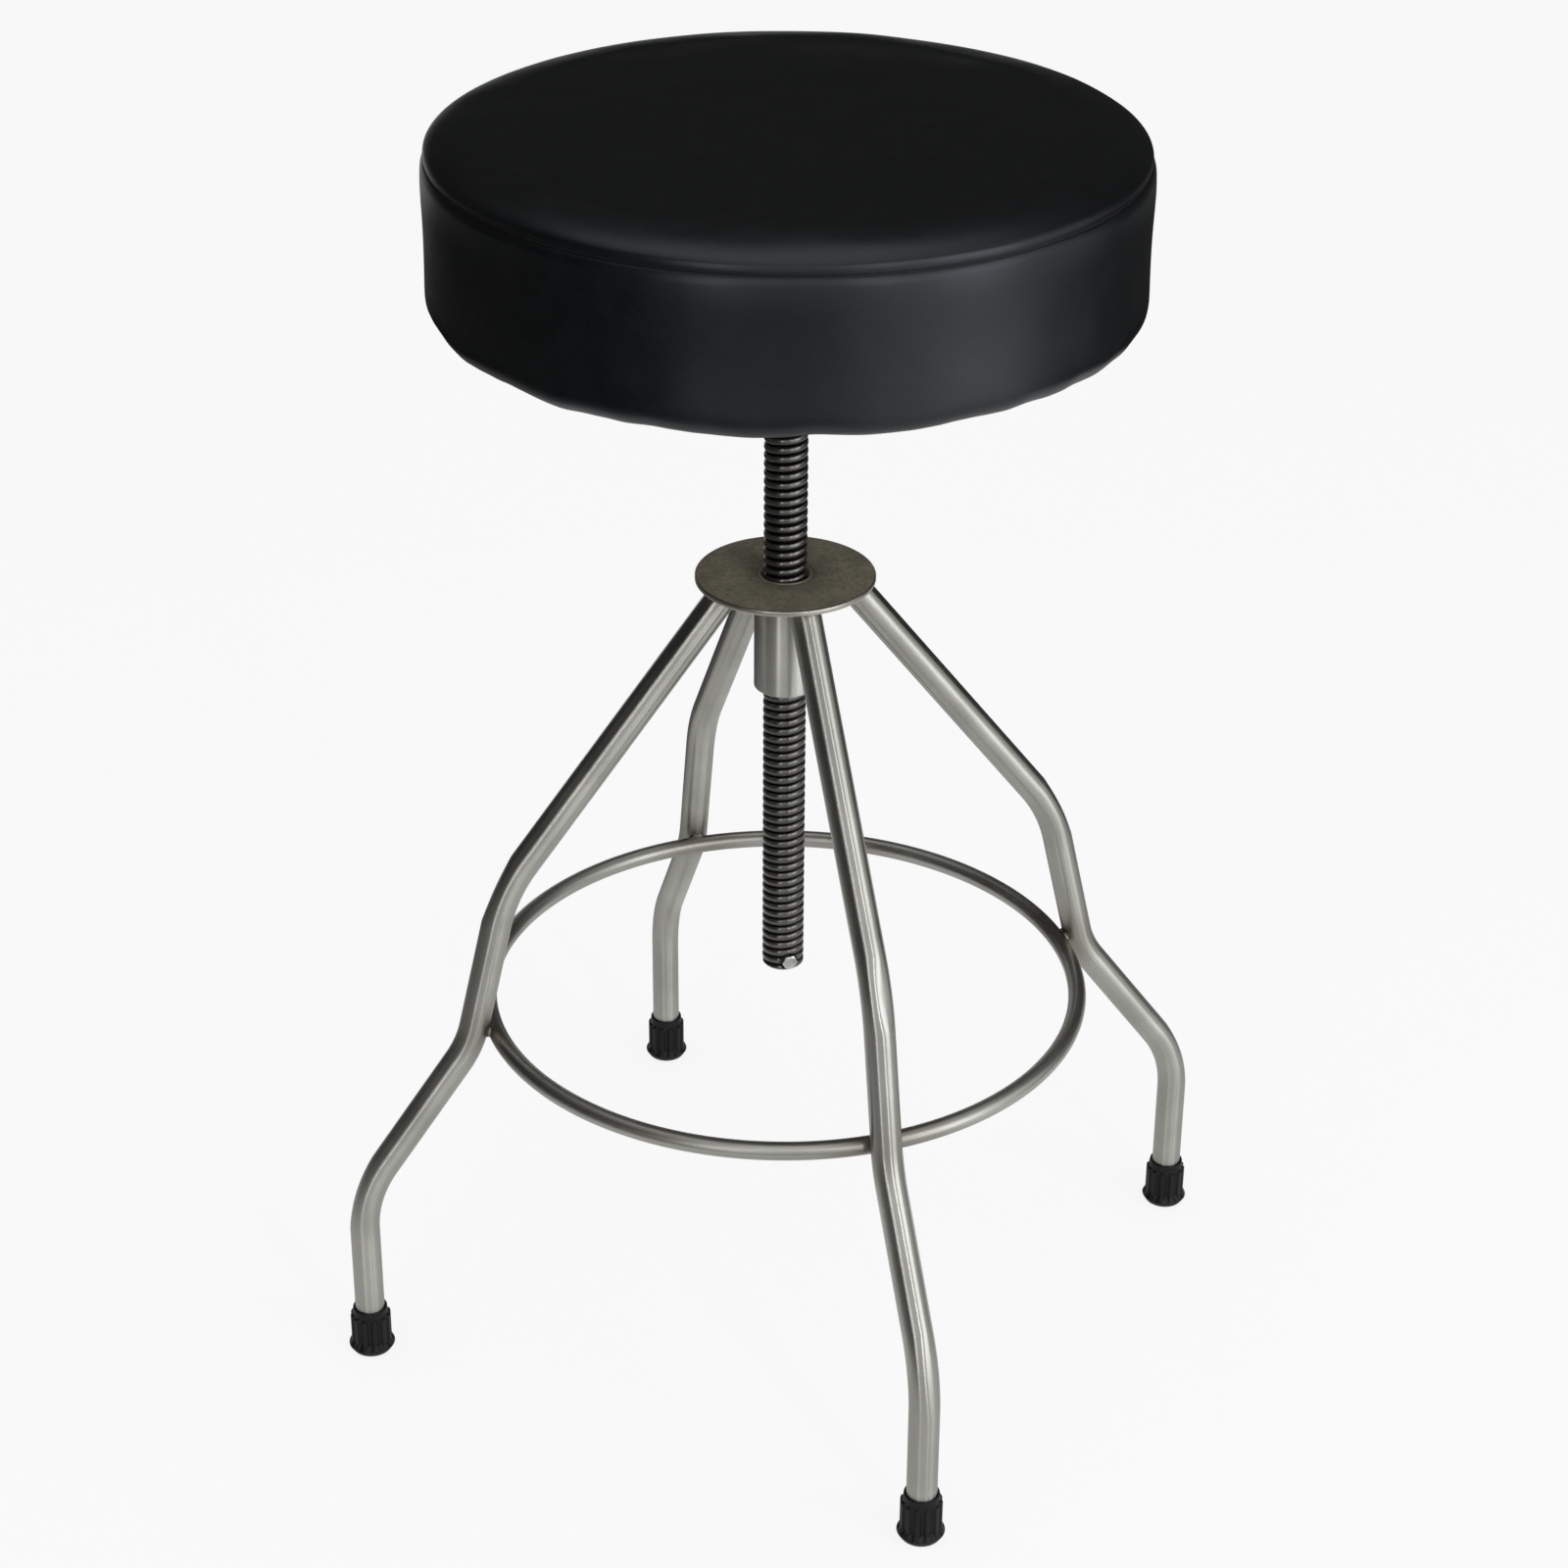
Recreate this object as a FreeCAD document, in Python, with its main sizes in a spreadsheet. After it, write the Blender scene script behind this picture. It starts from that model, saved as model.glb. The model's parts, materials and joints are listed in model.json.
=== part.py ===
import FreeCAD, Part
import Sketcher
import math
import os
import re

# Height-adjustable clinic stool: a round cushion on a screw spindle, which runs in a hub under a plate
# on four bent tube legs with a foot ring. Millimetres and degrees, floor at Z = 0, spindle on the Z axis,
# legs on the X and Y axes.

# The driving sizes: name, value and what it is
SIZES = (
    ("leg_diameter", 15.875, "outside of a leg tube"),
    ("leg_wall", 1.25, "wall of a leg tube"),
    ("middle_run_angle", 13.2, "lean of the run that passes the foot ring"),
    ("lower_run_angle", 36.3, "lean of the run that kicks out to the foot"),
    ("shoulder_bend_radius", 85.0, "bend between the upper and middle runs"),
    ("knee_bend_radius", 55.0, "bend just under the foot ring"),
    ("ankle_bend_radius", 65.0, "bend above the upright foot"),
    ("shoulder_height", 273.7, "corner of the shoulder bend above the floor"),
    ("leg_hub_room", 13.3, "leg's centre under the plate from the hub's side"),
    ("knee_drop", 5.75, "corner of the knee bend below the foot ring"),
    ("foot_reach", 235.0, "foot centre from the spindle"),
    ("ring_radius", 158.75, "foot ring from the spindle to its rod's centre"),
    ("ring_height", 190.5, "foot ring's rod above the floor"),
    ("ring_rod_diameter", 9.525, "rod of the foot ring"),
    ("weld_bite", 0.15, "how far the ring's weld sinks it into each leg"),
    ("plate_diameter", 92.0, "top plate"),
    ("plate_thickness", 3.0, "top plate"),
    ("plate_edge_round", 0.6, "rounding of the top plate's rim"),
    ("plate_top_height", 435.0, "top plate's upper face above the floor"),
    ("hub_diameter", 31.75, "threaded hub"),
    ("hub_length", 63.5, "threaded hub with its spigot"),
    ("hub_edge_break", 0.8, "chamfer on the hub's lower rim"),
    ("spigot_diameter", 28.4, "end of the hub that shows in the plate"),
    ("bore_chamfer", 1.4, "lead-in at each end of the hub's bore"),
    ("thread_clearance", 0.3, "radial room round the spindle in the hub"),
    ("spindle_diameter", 22.225, "spindle over its thread"),
    ("spindle_length", 376.0, "spindle with its shank"),
    ("spindle_chamfer", 1.6, "lower end of the spindle"),
    ("shank_diameter", 19.05, "turned end of the spindle in the flange"),
    ("stop_bolt_rise", 5.6, "stop bolt above the spindle's lower end"),
    ("stop_head_across_flats", 7.94, "hexagon head of the stop bolt"),
    ("stop_head_height", 3.4, "hexagon head of the stop bolt"),
    ("stop_shank_diameter", 4.8, "shank of the stop bolt"),
    ("stop_shank_length", 13.0, "shank of the stop bolt"),
    ("spot_face_depth", 1.7, "flat for the stop bolt's head, below the thread"),
    ("spot_face_diameter", 10.4, "flat for the stop bolt's head"),
    ("collar_diameter", 38.1, "collar under the seat flange"),
    ("collar_height", 12.7, "collar under the seat flange"),
    ("collar_edge_break", 1.2, "chamfer on the collar's rims"),
    ("collar_clearance", 0.3, "radial room round the spindle in the collar"),
    ("flange_diameter", 152.4, "seat flange"),
    ("flange_thickness", 4.0, "seat flange"),
    ("flange_edge_round", 1.0, "rounding of the seat flange's lower rim"),
    ("bolt_circle", 120.0, "circle of the seat bolts"),
    ("bolt_diameter", 6.35, "seat bolt's shank"),
    ("bolt_length", 15.0, "seat bolt under its head"),
    ("bolt_head_across_flats", 11.1, "seat bolt's hexagon head"),
    ("bolt_head_height", 4.2, "seat bolt's hexagon head"),
    ("bolt_clearance", 0.4, "radial room round a seat bolt"),
    ("washer_diameter", 16.0, "washer under a seat bolt's head"),
    ("washer_thickness", 1.5, "washer under a seat bolt's head"),
    ("tee_nut_flange_diameter", 19.0, "tee nut's flange on the board"),
    ("tee_nut_flange_thickness", 1.4, "tee nut's flange on the board"),
    ("tee_nut_barrel_wall", 1.2, "tee nut's barrel round the bolt"),
    ("tee_nut_barrel_length", 9.0, "tee nut's barrel in the board"),
    ("board_height", 581.0, "underside of the seat board above the floor"),
    ("board_diameter", 312.0, "plywood seat board"),
    ("board_thickness", 12.7, "plywood seat board"),
    ("board_edge_round", 2.0, "rounding of the board's rims"),
    ("seat_diameter", 352.6, "cushion at its seam"),
    ("seam_rise", 76.0, "cushion's seam above the board's underside"),
    ("crown_rise", 15.0, "middle of the cushion above its seam"),
    ("shoulder_round", 10.0, "top panel's roll at the seam"),
    ("band_draw_in", 1.2, "how far the side band is pulled in at its lower edge"),
    ("band_hollow_radius", 600.0, "hollow of the side band between the seam and its lower edge"),
    ("lower_edge_round", 14.0, "side band's roll at the lower edge"),
    ("vinyl_thickness", 1.2, "cushion cover"),
    ("fold_width", 16.0, "side band's fold on the board's underside"),
    ("foam_gap", 0.25, "room between the foam and the cover"),
    ("dust_cover_thickness", 0.6, "cloth under the board"),
    ("dust_cover_lap", 8.0, "cloth over the side band's fold"),
    ("dust_cover_gap", 1.5, "room between the cloth and the flange"),
    ("tip_height", 27.5, "rubber tip"),
    ("tip_base_diameter", 25.0, "rubber tip on the floor"),
    ("tip_rib_diameter", 21.9, "rubber tip over its ribs"),
    ("tip_rim_diameter", 18.4, "rubber tip's thin rim round the tube"),
    ("tip_base_edge", 1.8, "upright edge of the tip's base"),
    ("tip_flare_height", 3.6, "cone from the tip's base to its ribs"),
    ("tip_shoulder_height", 6.0, "cone from the tip's ribs to its rim"),
    ("tip_sole", 6.0, "rubber under the washer"),
    ("flute_diameter", 3.2, "round groove between two ribs"),
    ("flute_depth", 1.1, "round groove between two ribs"),
    ("flute_count", 12, "grooves round a tip"),
    ("tip_washer_thickness", 1.5, "steel washer in a tip, under the tube"),
    ("tip_washer_hole", 5.0, "hole of the washer in a tip"),
)

# The sizes that follow from them, in the order in which they are worked out
WORKED = (
    ("leg_radius", "leg_diameter / 2"),
    ("tube_end", "tip_sole + tip_washer_thickness"),
    ("knee_tangent", "knee_bend_radius * tan((lower_run_angle - middle_run_angle) / 2)"),
    ("ankle_tangent", "ankle_bend_radius * tan(lower_run_angle / 2)"),
    ("knee_height", "ring_height - knee_drop"),
    ("knee_centre_rise",
     "knee_tangent * cos(middle_run_angle) + knee_bend_radius * sin(middle_run_angle) - knee_drop"),
    ("knee_to_ring", "knee_bend_radius + leg_radius + ring_rod_diameter / 2 - weld_bite"),
    ("knee_reach",
     "ring_radius + sqrt(knee_to_ring ^ 2 - knee_centre_rise ^ 2) + knee_tangent * sin(middle_run_angle)"
     " - knee_bend_radius * cos(middle_run_angle)"),
    ("ankle_height", "knee_height - (foot_reach - knee_reach) / tan(lower_run_angle)"),
    ("shoulder_reach", "knee_reach - (shoulder_height - knee_height) * tan(middle_run_angle)"),
    ("plate_underside", "plate_top_height - plate_thickness"),
    ("leg_plate_reach", "hub_diameter / 2 + leg_hub_room"),
    ("upper_run_angle",
     "atan((shoulder_reach - leg_plate_reach) / (plate_underside - shoulder_height)) / 1 deg"),
    ("shoulder_tangent", "shoulder_bend_radius * tan((upper_run_angle - middle_run_angle) / 2)"),
    ("leg_top", "plate_underside + leg_diameter"),
    ("leg_top_reach", "shoulder_reach - (leg_top - shoulder_height) * tan(upper_run_angle)"),
    ("hub_bottom", "plate_top_height - hub_length"),
    ("bore_radius", "spindle_diameter / 2 + thread_clearance"),
    ("flange_underside", "board_height - flange_thickness"),
    ("spindle_end", "board_height - spindle_length"),
    ("stop_bolt_height", "spindle_end + stop_bolt_rise"),
    ("spot_face", "spindle_diameter / 2 - spot_face_depth"),
    ("collar_bottom", "flange_underside - collar_height"),
    ("washer_underside", "flange_underside - washer_thickness"),
    ("board_top", "board_height + board_thickness"),
    ("barrel_radius", "bolt_diameter / 2 + bolt_clearance + tee_nut_barrel_wall"),
    ("seat_radius", "seat_diameter / 2"),
    ("seam_height", "board_height + seam_rise"),
    ("crown_height", "seam_height + crown_rise"),
    ("roll_reach", "seat_radius - shoulder_round"),
    ("crown_radius",
     "(roll_reach ^ 2 + crown_rise ^ 2 - shoulder_round ^ 2) / (2 * (crown_rise - shoulder_round))"),
    ("band_foot", "seat_radius - band_draw_in"),
    ("edge_centre_reach", "band_foot - lower_edge_round"),
    ("edge_centre_height", "board_height - vinyl_thickness + lower_edge_round"),
    ("fold_inside", "board_diameter / 2 - fold_width"),
    ("flute_centre", "tip_rib_diameter / 2 - flute_depth + flute_diameter / 2"),
    ("flute_bottom", "tip_base_edge + tip_flare_height"),
)

LEG_NAMES = ("right", "back", "left", "front")
QUARTER_TURN = 90
BOLT_COUNT = 4

doc = FreeCAD.newDocument("exam_stool")
pieces = []


def make_sheet(name, rows):
    """Add a sheet with one named value a row."""
    sheet = doc.addObject("Spreadsheet::Sheet", name)
    for number, row in enumerate(rows, start=1):
        sheet.set(f"A{number}", row[0])
        sheet.set(f"B{number}", row[1])
        sheet.setAlias(f"B{number}", row[0])
    doc.recompute()
    return sheet


owner = {row[0]: "Sizes" for row in SIZES}
owner.update({row[0]: "Worked" for row in WORKED})


def bind(text):
    """Write the sheet's name before each size's name in a formula."""
    def with_sheet(found):
        word = found[0]
        return f"{owner[word]}.{word}" if word in owner else word

    return re.sub(r"[a-z_]+", with_sheet, text)


sizes = make_sheet("Sizes", [(name, str(number)) for name, number, note in SIZES])
worked = make_sheet("Worked", [(name, "=" + bind(formula)) for name, formula in WORKED])


def value(text):
    """The number that a formula of sizes gives now."""
    return float(sizes.evalExpression(bind(text)))


def new_body(label):
    """Add a body for one sub-part."""
    body = doc.addObject("PartDesign::Body", label)
    body.Label = label
    pieces.append(body)
    return body


def new_sketch(body, name, role, offset=None):
    """Add a sketch on one of the body's own planes, moved along the plane's normal by a formula."""
    sketch = body.newObject("Sketcher::SketchObject", name)
    plane = next(item for item in body.Origin.OriginFeatures if item.Role == role)
    sketch.AttachmentSupport = [(plane, "")]
    sketch.MapMode = "FlatFace"
    if offset:
        sketch.setExpression("AttachmentOffset.Base.z", bind(offset))
    return sketch


def hold(sketch, kind, *where, formula):
    """Add a constraint whose size is a formula."""
    index = sketch.addConstraint(Sketcher.Constraint(kind, *where, value(formula)))
    sketch.setExpression(f"Constraints[{index}]", bind(formula))


def hold_point(sketch, geometry, end, point):
    """Pin a point to its formulas for X and Y. A zero lies on the axis."""
    for kind, formula, axis in (("DistanceX", point[0], -2), ("DistanceY", point[1], -1)):
        if formula == "0":
            sketch.addConstraint(Sketcher.Constraint("PointOnObject", geometry, end, axis))
        else:
            hold(sketch, kind, -1, 1, geometry, end, formula=formula)


def arc_between(first, last, radius, turn):
    """The short arc between two points. A turn of 1 runs anticlockwise, and -1 clockwise."""
    chord = last - first
    sag = radius - math.sqrt(radius ** 2 - (chord.Length / 2) ** 2)
    across = FreeCAD.Vector(chord.y, -chord.x, 0).normalize()
    return Part.Arc(first, (first + last) / 2 + across * (turn * sag), last)


def draw(sketch, points, arcs=None, closed=True):
    """Join points given as formulas. arcs maps a point's number to the next arc's radius and turn."""
    arcs = arcs or {}
    corners = [FreeCAD.Vector(value(x), value(y), 0) for x, y in points]
    count = len(points) if closed else len(points) - 1
    ends = []
    for index in range(count):
        first = corners[index]
        last = corners[(index + 1) % len(points)]
        if index in arcs:
            radius, turn = arcs[index]
            geometry = sketch.addGeometry(arc_between(first, last, value(radius), turn))
            ends.append((geometry, 1, 2) if turn > 0 else (geometry, 2, 1))
        else:
            geometry = sketch.addGeometry(Part.LineSegment(first, last))
            ends.append((geometry, 1, 2))
    for index in range(count if closed else count - 1):
        here = ends[index]
        after = ends[(index + 1) % count]
        sketch.addConstraint(Sketcher.Constraint("Coincident", here[0], here[2], after[0], after[1]))
    for index in range(count):
        hold_point(sketch, ends[index][0], ends[index][1], points[index])
    if not closed:
        hold_point(sketch, ends[-1][0], ends[-1][2], points[-1])
    for index, (radius, turn) in arcs.items():
        hold(sketch, "Radius", ends[index][0], formula=radius)


def circle(sketch, x, y, radius):
    """Draw a circle whose centre and radius are formulas."""
    centre = FreeCAD.Vector(value(x), value(y), 0)
    geometry = sketch.addGeometry(Part.Circle(centre, FreeCAD.Vector(0, 0, 1), value(radius)))
    hold_point(sketch, geometry, 3, (x, y))
    hold(sketch, "Radius", geometry, formula=radius)


def hexagon(sketch, x, y, across_flats):
    """Draw a hexagon with two flats level, from formulas for its centre and its width over flats."""
    half = f"({across_flats}) / 2"
    side = f"({across_flats}) / sqrt(3)"
    ways = ((1, 0), (0.5, 1), (-0.5, 1), (-1, 0), (-0.5, -1), (0.5, -1))
    draw(sketch, [(f"{x} + {along} * {side}", f"{y} + {up} * {half}") for along, up in ways])


def revolve(body, points, arcs=None):
    """Turn a closed outline of radius and height about the Z axis."""
    outline = new_sketch(body, "outline", "XZ_Plane")
    draw(outline, points, arcs)
    turned = body.newObject("PartDesign::Revolution", "turned")
    turned.Profile = outline
    turned.ReferenceAxis = (outline, ["V_Axis"])
    turned.Angle = 360
    doc.recompute()
    return turned


def pad(body, sketch, length):
    """Raise a sketch along its normal by a formula."""
    raised = body.newObject("PartDesign::Pad", sketch.Name + "_pad")
    raised.Profile = sketch
    raised.setExpression("Length", bind(length))
    doc.recompute()
    return raised


def cut(body, sketch, length, reverse=False):
    """Sink a sketch against its normal by a formula, or along it when reversed, and check that it cut."""
    before = body.Shape.Volume
    sunk = body.newObject("PartDesign::Pocket", sketch.Name + "_cut")
    sunk.Profile = sketch
    sunk.setExpression("Length", bind(length))
    sunk.Reversed = reverse
    doc.recompute()
    if not body.Shape.Volume < before:
        raise RuntimeError(f"{sketch.Name} cuts nothing from {body.Label}")
    return sunk


def repeat(body, features, count):
    """Repeat features evenly round the body's Z axis."""
    pattern = body.newObject("PartDesign::PolarPattern", "pattern")
    pattern.Originals = features
    axis = next(item for item in body.Origin.OriginFeatures if item.Role == "Z_Axis")
    pattern.Axis = (axis, [""])
    pattern.Angle = 360
    if isinstance(count, str):
        pattern.setExpression("Occurrences", bind(count))
    else:
        pattern.Occurrences = count
    body.Tip = pattern
    doc.recompute()
    return pattern


def round_edges(body, base, edges, size):
    """Round named edges of a feature by a formula."""
    rounded = body.newObject("PartDesign::Fillet", "rounded")
    rounded.Base = (base, edges)
    rounded.setExpression("Radius", bind(size))
    doc.recompute()
    return rounded


def rim_edges(shape, radius, height):
    """Names of the round edges of a radius at a height."""
    names = []
    for number, edge in enumerate(shape.Edges, start=1):
        curve = edge.Curve
        if isinstance(curve, Part.Circle) and math.isclose(curve.Radius, radius, abs_tol=1e-6):
            if math.isclose(curve.Center.z, height, abs_tol=1e-6):
                names.append(f"Edge{number}")
    return names


def make_leg(name, turn):
    """One tube: upright at the foot, three bends, and cut level where it meets the plate."""
    body = new_body(f"leg_{name}")
    path = new_sketch(body, "path", "XZ_Plane")
    lower = ("sin(lower_run_angle)", "cos(lower_run_angle)")
    middle = ("sin(middle_run_angle)", "cos(middle_run_angle)")
    upper = ("sin(upper_run_angle)", "cos(upper_run_angle)")
    points = [
        ("foot_reach", "tube_end"),
        ("foot_reach", "ankle_height - ankle_tangent"),
        (f"foot_reach - ankle_tangent * {lower[0]}", f"ankle_height + ankle_tangent * {lower[1]}"),
        (f"knee_reach + knee_tangent * {lower[0]}", f"knee_height - knee_tangent * {lower[1]}"),
        (f"knee_reach - knee_tangent * {middle[0]}", f"knee_height + knee_tangent * {middle[1]}"),
        (f"shoulder_reach + shoulder_tangent * {middle[0]}",
         f"shoulder_height - shoulder_tangent * {middle[1]}"),
        (f"shoulder_reach - shoulder_tangent * {upper[0]}",
         f"shoulder_height + shoulder_tangent * {upper[1]}"),
        ("leg_top_reach", "leg_top"),
    ]
    bends = {1: ("ankle_bend_radius", 1), 3: ("knee_bend_radius", -1), 5: ("shoulder_bend_radius", 1)}
    draw(path, points, bends, closed=False)
    section = new_sketch(body, "section", "XY_Plane", "tube_end")
    circle(section, "foot_reach", "0", "leg_radius")
    circle(section, "foot_reach", "0", "leg_radius - leg_wall")
    tube = body.newObject("PartDesign::AdditivePipe", "tube")
    tube.Profile = section
    tube.Spine = path
    doc.recompute()
    mitre = new_sketch(body, "mitre", "XY_Plane", "plate_underside")
    circle(mitre, "leg_top_reach", "0", "4 * leg_diameter")
    cut(body, mitre, "4 * leg_diameter", reverse=True)
    body.Placement = FreeCAD.Placement(FreeCAD.Vector(), FreeCAD.Rotation(FreeCAD.Vector(0, 0, 1), turn))


def make_foot_ring():
    """The rod, bent round inside the four legs."""
    body = new_body("foot_ring")
    section = new_sketch(body, "section", "XZ_Plane")
    circle(section, "ring_radius", "ring_height", "ring_rod_diameter / 2")
    ring = body.newObject("PartDesign::Revolution", "ring")
    ring.Profile = section
    ring.ReferenceAxis = (section, ["V_Axis"])
    ring.Angle = 360
    doc.recompute()


def make_foot_tip(name, turn):
    """Rubber tip: flared base, fluted wall, thin rim, and a blind hole for the washer and the tube."""
    body = new_body(f"foot_tip_{name}")
    revolve(body, [
        ("0", "0"),
        ("tip_base_diameter / 2", "0"),
        ("tip_base_diameter / 2", "tip_base_edge"),
        ("tip_rib_diameter / 2", "flute_bottom"),
        ("tip_rib_diameter / 2", "tip_height - tip_shoulder_height"),
        ("tip_rim_diameter / 2", "tip_height"),
        ("leg_radius", "tip_height"),
        ("leg_radius", "tip_sole"),
        ("0", "tip_sole"),
    ])
    groove = new_sketch(body, "groove", "XY_Plane", "flute_bottom")
    circle(groove, "flute_centre", "0", "flute_diameter / 2")
    flute = cut(body, groove, "tip_height", reverse=True)
    repeat(body, [flute], "flute_count")
    body.Placement.Rotation = FreeCAD.Rotation(FreeCAD.Vector(0, 0, 1), turn)
    body.setExpression("Placement.Base.x", bind(f"foot_reach * cos({turn})"))
    body.setExpression("Placement.Base.y", bind(f"foot_reach * sin({turn})"))


def make_tip_washers():
    """A steel washer in each tip, which keeps the tube from cutting through the rubber."""
    body = new_body("tip_washers")
    body.AllowCompound = True
    washer = new_sketch(body, "washer", "XY_Plane", "tip_sole")
    circle(washer, "foot_reach", "0", "leg_radius")
    circle(washer, "foot_reach", "0", "tip_washer_hole / 2")
    repeat(body, [pad(body, washer, "tip_washer_thickness")], len(LEG_NAMES))


def make_top_plate():
    """The disc that the legs are welded under, with the hub's spigot through its middle."""
    body = new_body("top_plate")
    disc = new_sketch(body, "disc", "XY_Plane", "plate_underside")
    circle(disc, "0", "0", "plate_diameter / 2")
    circle(disc, "0", "0", "spigot_diameter / 2")
    plate = pad(body, disc, "plate_thickness")
    rim = value("plate_diameter / 2")
    edges = rim_edges(plate.Shape, rim, value("plate_underside"))
    edges += rim_edges(plate.Shape, rim, value("plate_top_height"))
    round_edges(body, plate, edges, "plate_edge_round")


def make_hub_nut():
    """The sleeve that the spindle turns in, hung from the plate by its spigot."""
    body = new_body("hub_nut")
    revolve(body, [
        ("bore_radius + bore_chamfer", "hub_bottom"),
        ("hub_diameter / 2 - hub_edge_break", "hub_bottom"),
        ("hub_diameter / 2", "hub_bottom + hub_edge_break"),
        ("hub_diameter / 2", "plate_underside"),
        ("spigot_diameter / 2", "plate_underside"),
        ("spigot_diameter / 2", "plate_top_height"),
        ("bore_radius + bore_chamfer", "plate_top_height"),
        ("bore_radius", "plate_top_height - bore_chamfer"),
        ("bore_radius", "hub_bottom + bore_chamfer"),
    ])


def make_spindle():
    """The screw, with a shank for the flange, a flat and a hole for the stop bolt."""
    body = new_body("spindle")
    radius = "spindle_diameter / 2"
    revolve(body, [
        ("0", "spindle_end"),
        (f"{radius} - spindle_chamfer", "spindle_end"),
        (radius, "spindle_end + spindle_chamfer"),
        (radius, "flange_underside"),
        ("shank_diameter / 2", "flange_underside"),
        ("shank_diameter / 2", "board_height"),
        ("0", "board_height"),
    ])
    flat = new_sketch(body, "flat", "XZ_Plane", "spot_face")
    circle(flat, "0", "stop_bolt_height", "spot_face_diameter / 2")
    cut(body, flat, "spindle_diameter", reverse=True)
    hole = new_sketch(body, "hole", "XZ_Plane", "spot_face")
    circle(hole, "0", "stop_bolt_height", "stop_shank_diameter / 2")
    cut(body, hole, "stop_shank_length")


def make_stop_bolt():
    """Hexagon bolt in the spindle's side, whose head meets the hub when the seat is right up."""
    body = new_body("stop_bolt")
    head = new_sketch(body, "head", "XZ_Plane", "spot_face")
    hexagon(head, "0", "stop_bolt_height", "stop_head_across_flats")
    pad(body, head, "stop_head_height")
    shank = new_sketch(body, "shank", "XZ_Plane", "spot_face")
    circle(shank, "0", "stop_bolt_height", "stop_shank_diameter / 2")
    pad(body, shank, "stop_shank_length").Reversed = True
    doc.recompute()


def make_spindle_collar():
    """The boss round the spindle under the flange, which meets the plate when the seat is right down."""
    body = new_body("spindle_collar")
    inside = "spindle_diameter / 2 + collar_clearance"
    revolve(body, [
        (inside, "collar_bottom"),
        ("collar_diameter / 2 - collar_edge_break", "collar_bottom"),
        ("collar_diameter / 2", "collar_bottom + collar_edge_break"),
        ("collar_diameter / 2", "flange_underside - collar_edge_break"),
        ("collar_diameter / 2 - collar_edge_break", "flange_underside"),
        (inside, "flange_underside"),
    ])


def make_seat_flange():
    """The disc on the spindle's shank, bolted to the board."""
    body = new_body("seat_flange")
    disc = new_sketch(body, "disc", "XY_Plane", "flange_underside")
    circle(disc, "0", "0", "flange_diameter / 2")
    circle(disc, "0", "0", "shank_diameter / 2")
    plate = pad(body, disc, "flange_thickness")
    edges = rim_edges(plate.Shape, value("flange_diameter / 2"), value("flange_underside"))
    round_edges(body, plate, edges, "flange_edge_round")
    hole = new_sketch(body, "hole", "XY_Plane", "flange_underside")
    circle(hole, "bolt_circle / 2", "0", "bolt_diameter / 2 + bolt_clearance")
    repeat(body, [cut(body, hole, "flange_thickness", reverse=True)], BOLT_COUNT)


def make_seat_bolts():
    """Hexagon bolts up through the flange into the tee nuts."""
    body = new_body("seat_bolts")
    body.AllowCompound = True
    head = new_sketch(body, "head", "XY_Plane", "washer_underside - bolt_head_height")
    hexagon(head, "bolt_circle / 2", "0", "bolt_head_across_flats")
    head_pad = pad(body, head, "bolt_head_height")
    shank = new_sketch(body, "shank", "XY_Plane", "washer_underside")
    circle(shank, "bolt_circle / 2", "0", "bolt_diameter / 2")
    repeat(body, [head_pad, pad(body, shank, "bolt_length")], BOLT_COUNT)


def make_seat_washers():
    """A washer between each bolt's head and the flange."""
    body = new_body("seat_washers")
    body.AllowCompound = True
    washer = new_sketch(body, "washer", "XY_Plane", "washer_underside")
    circle(washer, "bolt_circle / 2", "0", "washer_diameter / 2")
    circle(washer, "bolt_circle / 2", "0", "bolt_diameter / 2 + bolt_clearance")
    repeat(body, [pad(body, washer, "washer_thickness")], BOLT_COUNT)


def make_tee_nuts():
    """Tee nuts let into the board from above: a flange and a barrel."""
    body = new_body("tee_nuts")
    body.AllowCompound = True
    bore = "bolt_diameter / 2 + bolt_clearance"
    flange = new_sketch(body, "flange", "XY_Plane", "board_top - tee_nut_flange_thickness")
    circle(flange, "bolt_circle / 2", "0", "tee_nut_flange_diameter / 2")
    circle(flange, "bolt_circle / 2", "0", bore)
    flange_pad = pad(body, flange, "tee_nut_flange_thickness")
    barrel = new_sketch(body, "barrel", "XY_Plane", "board_top - tee_nut_barrel_length")
    circle(barrel, "bolt_circle / 2", "0", "barrel_radius")
    circle(barrel, "bolt_circle / 2", "0", bore)
    barrel_pad = pad(body, barrel, "tee_nut_barrel_length - tee_nut_flange_thickness")
    repeat(body, [flange_pad, barrel_pad], BOLT_COUNT)


def make_seat_board():
    """The plywood disc, drilled for the barrels and sunk for the tee nuts' flanges."""
    body = new_body("seat_board")
    disc = new_sketch(body, "disc", "XY_Plane", "board_height")
    circle(disc, "0", "0", "board_diameter / 2")
    board = pad(body, disc, "board_thickness")
    rim = value("board_diameter / 2")
    edges = rim_edges(board.Shape, rim, value("board_height"))
    edges += rim_edges(board.Shape, rim, value("board_top"))
    round_edges(body, board, edges, "board_edge_round")
    hole = new_sketch(body, "hole", "XY_Plane", "board_height")
    circle(hole, "bolt_circle / 2", "0", "barrel_radius")
    hole_cut = cut(body, hole, "board_thickness", reverse=True)
    sink = new_sketch(body, "sink", "XY_Plane", "board_top")
    circle(sink, "bolt_circle / 2", "0", "tee_nut_flange_diameter / 2")
    repeat(body, [hole_cut, cut(body, sink, "tee_nut_flange_thickness")], BOLT_COUNT)


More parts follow.
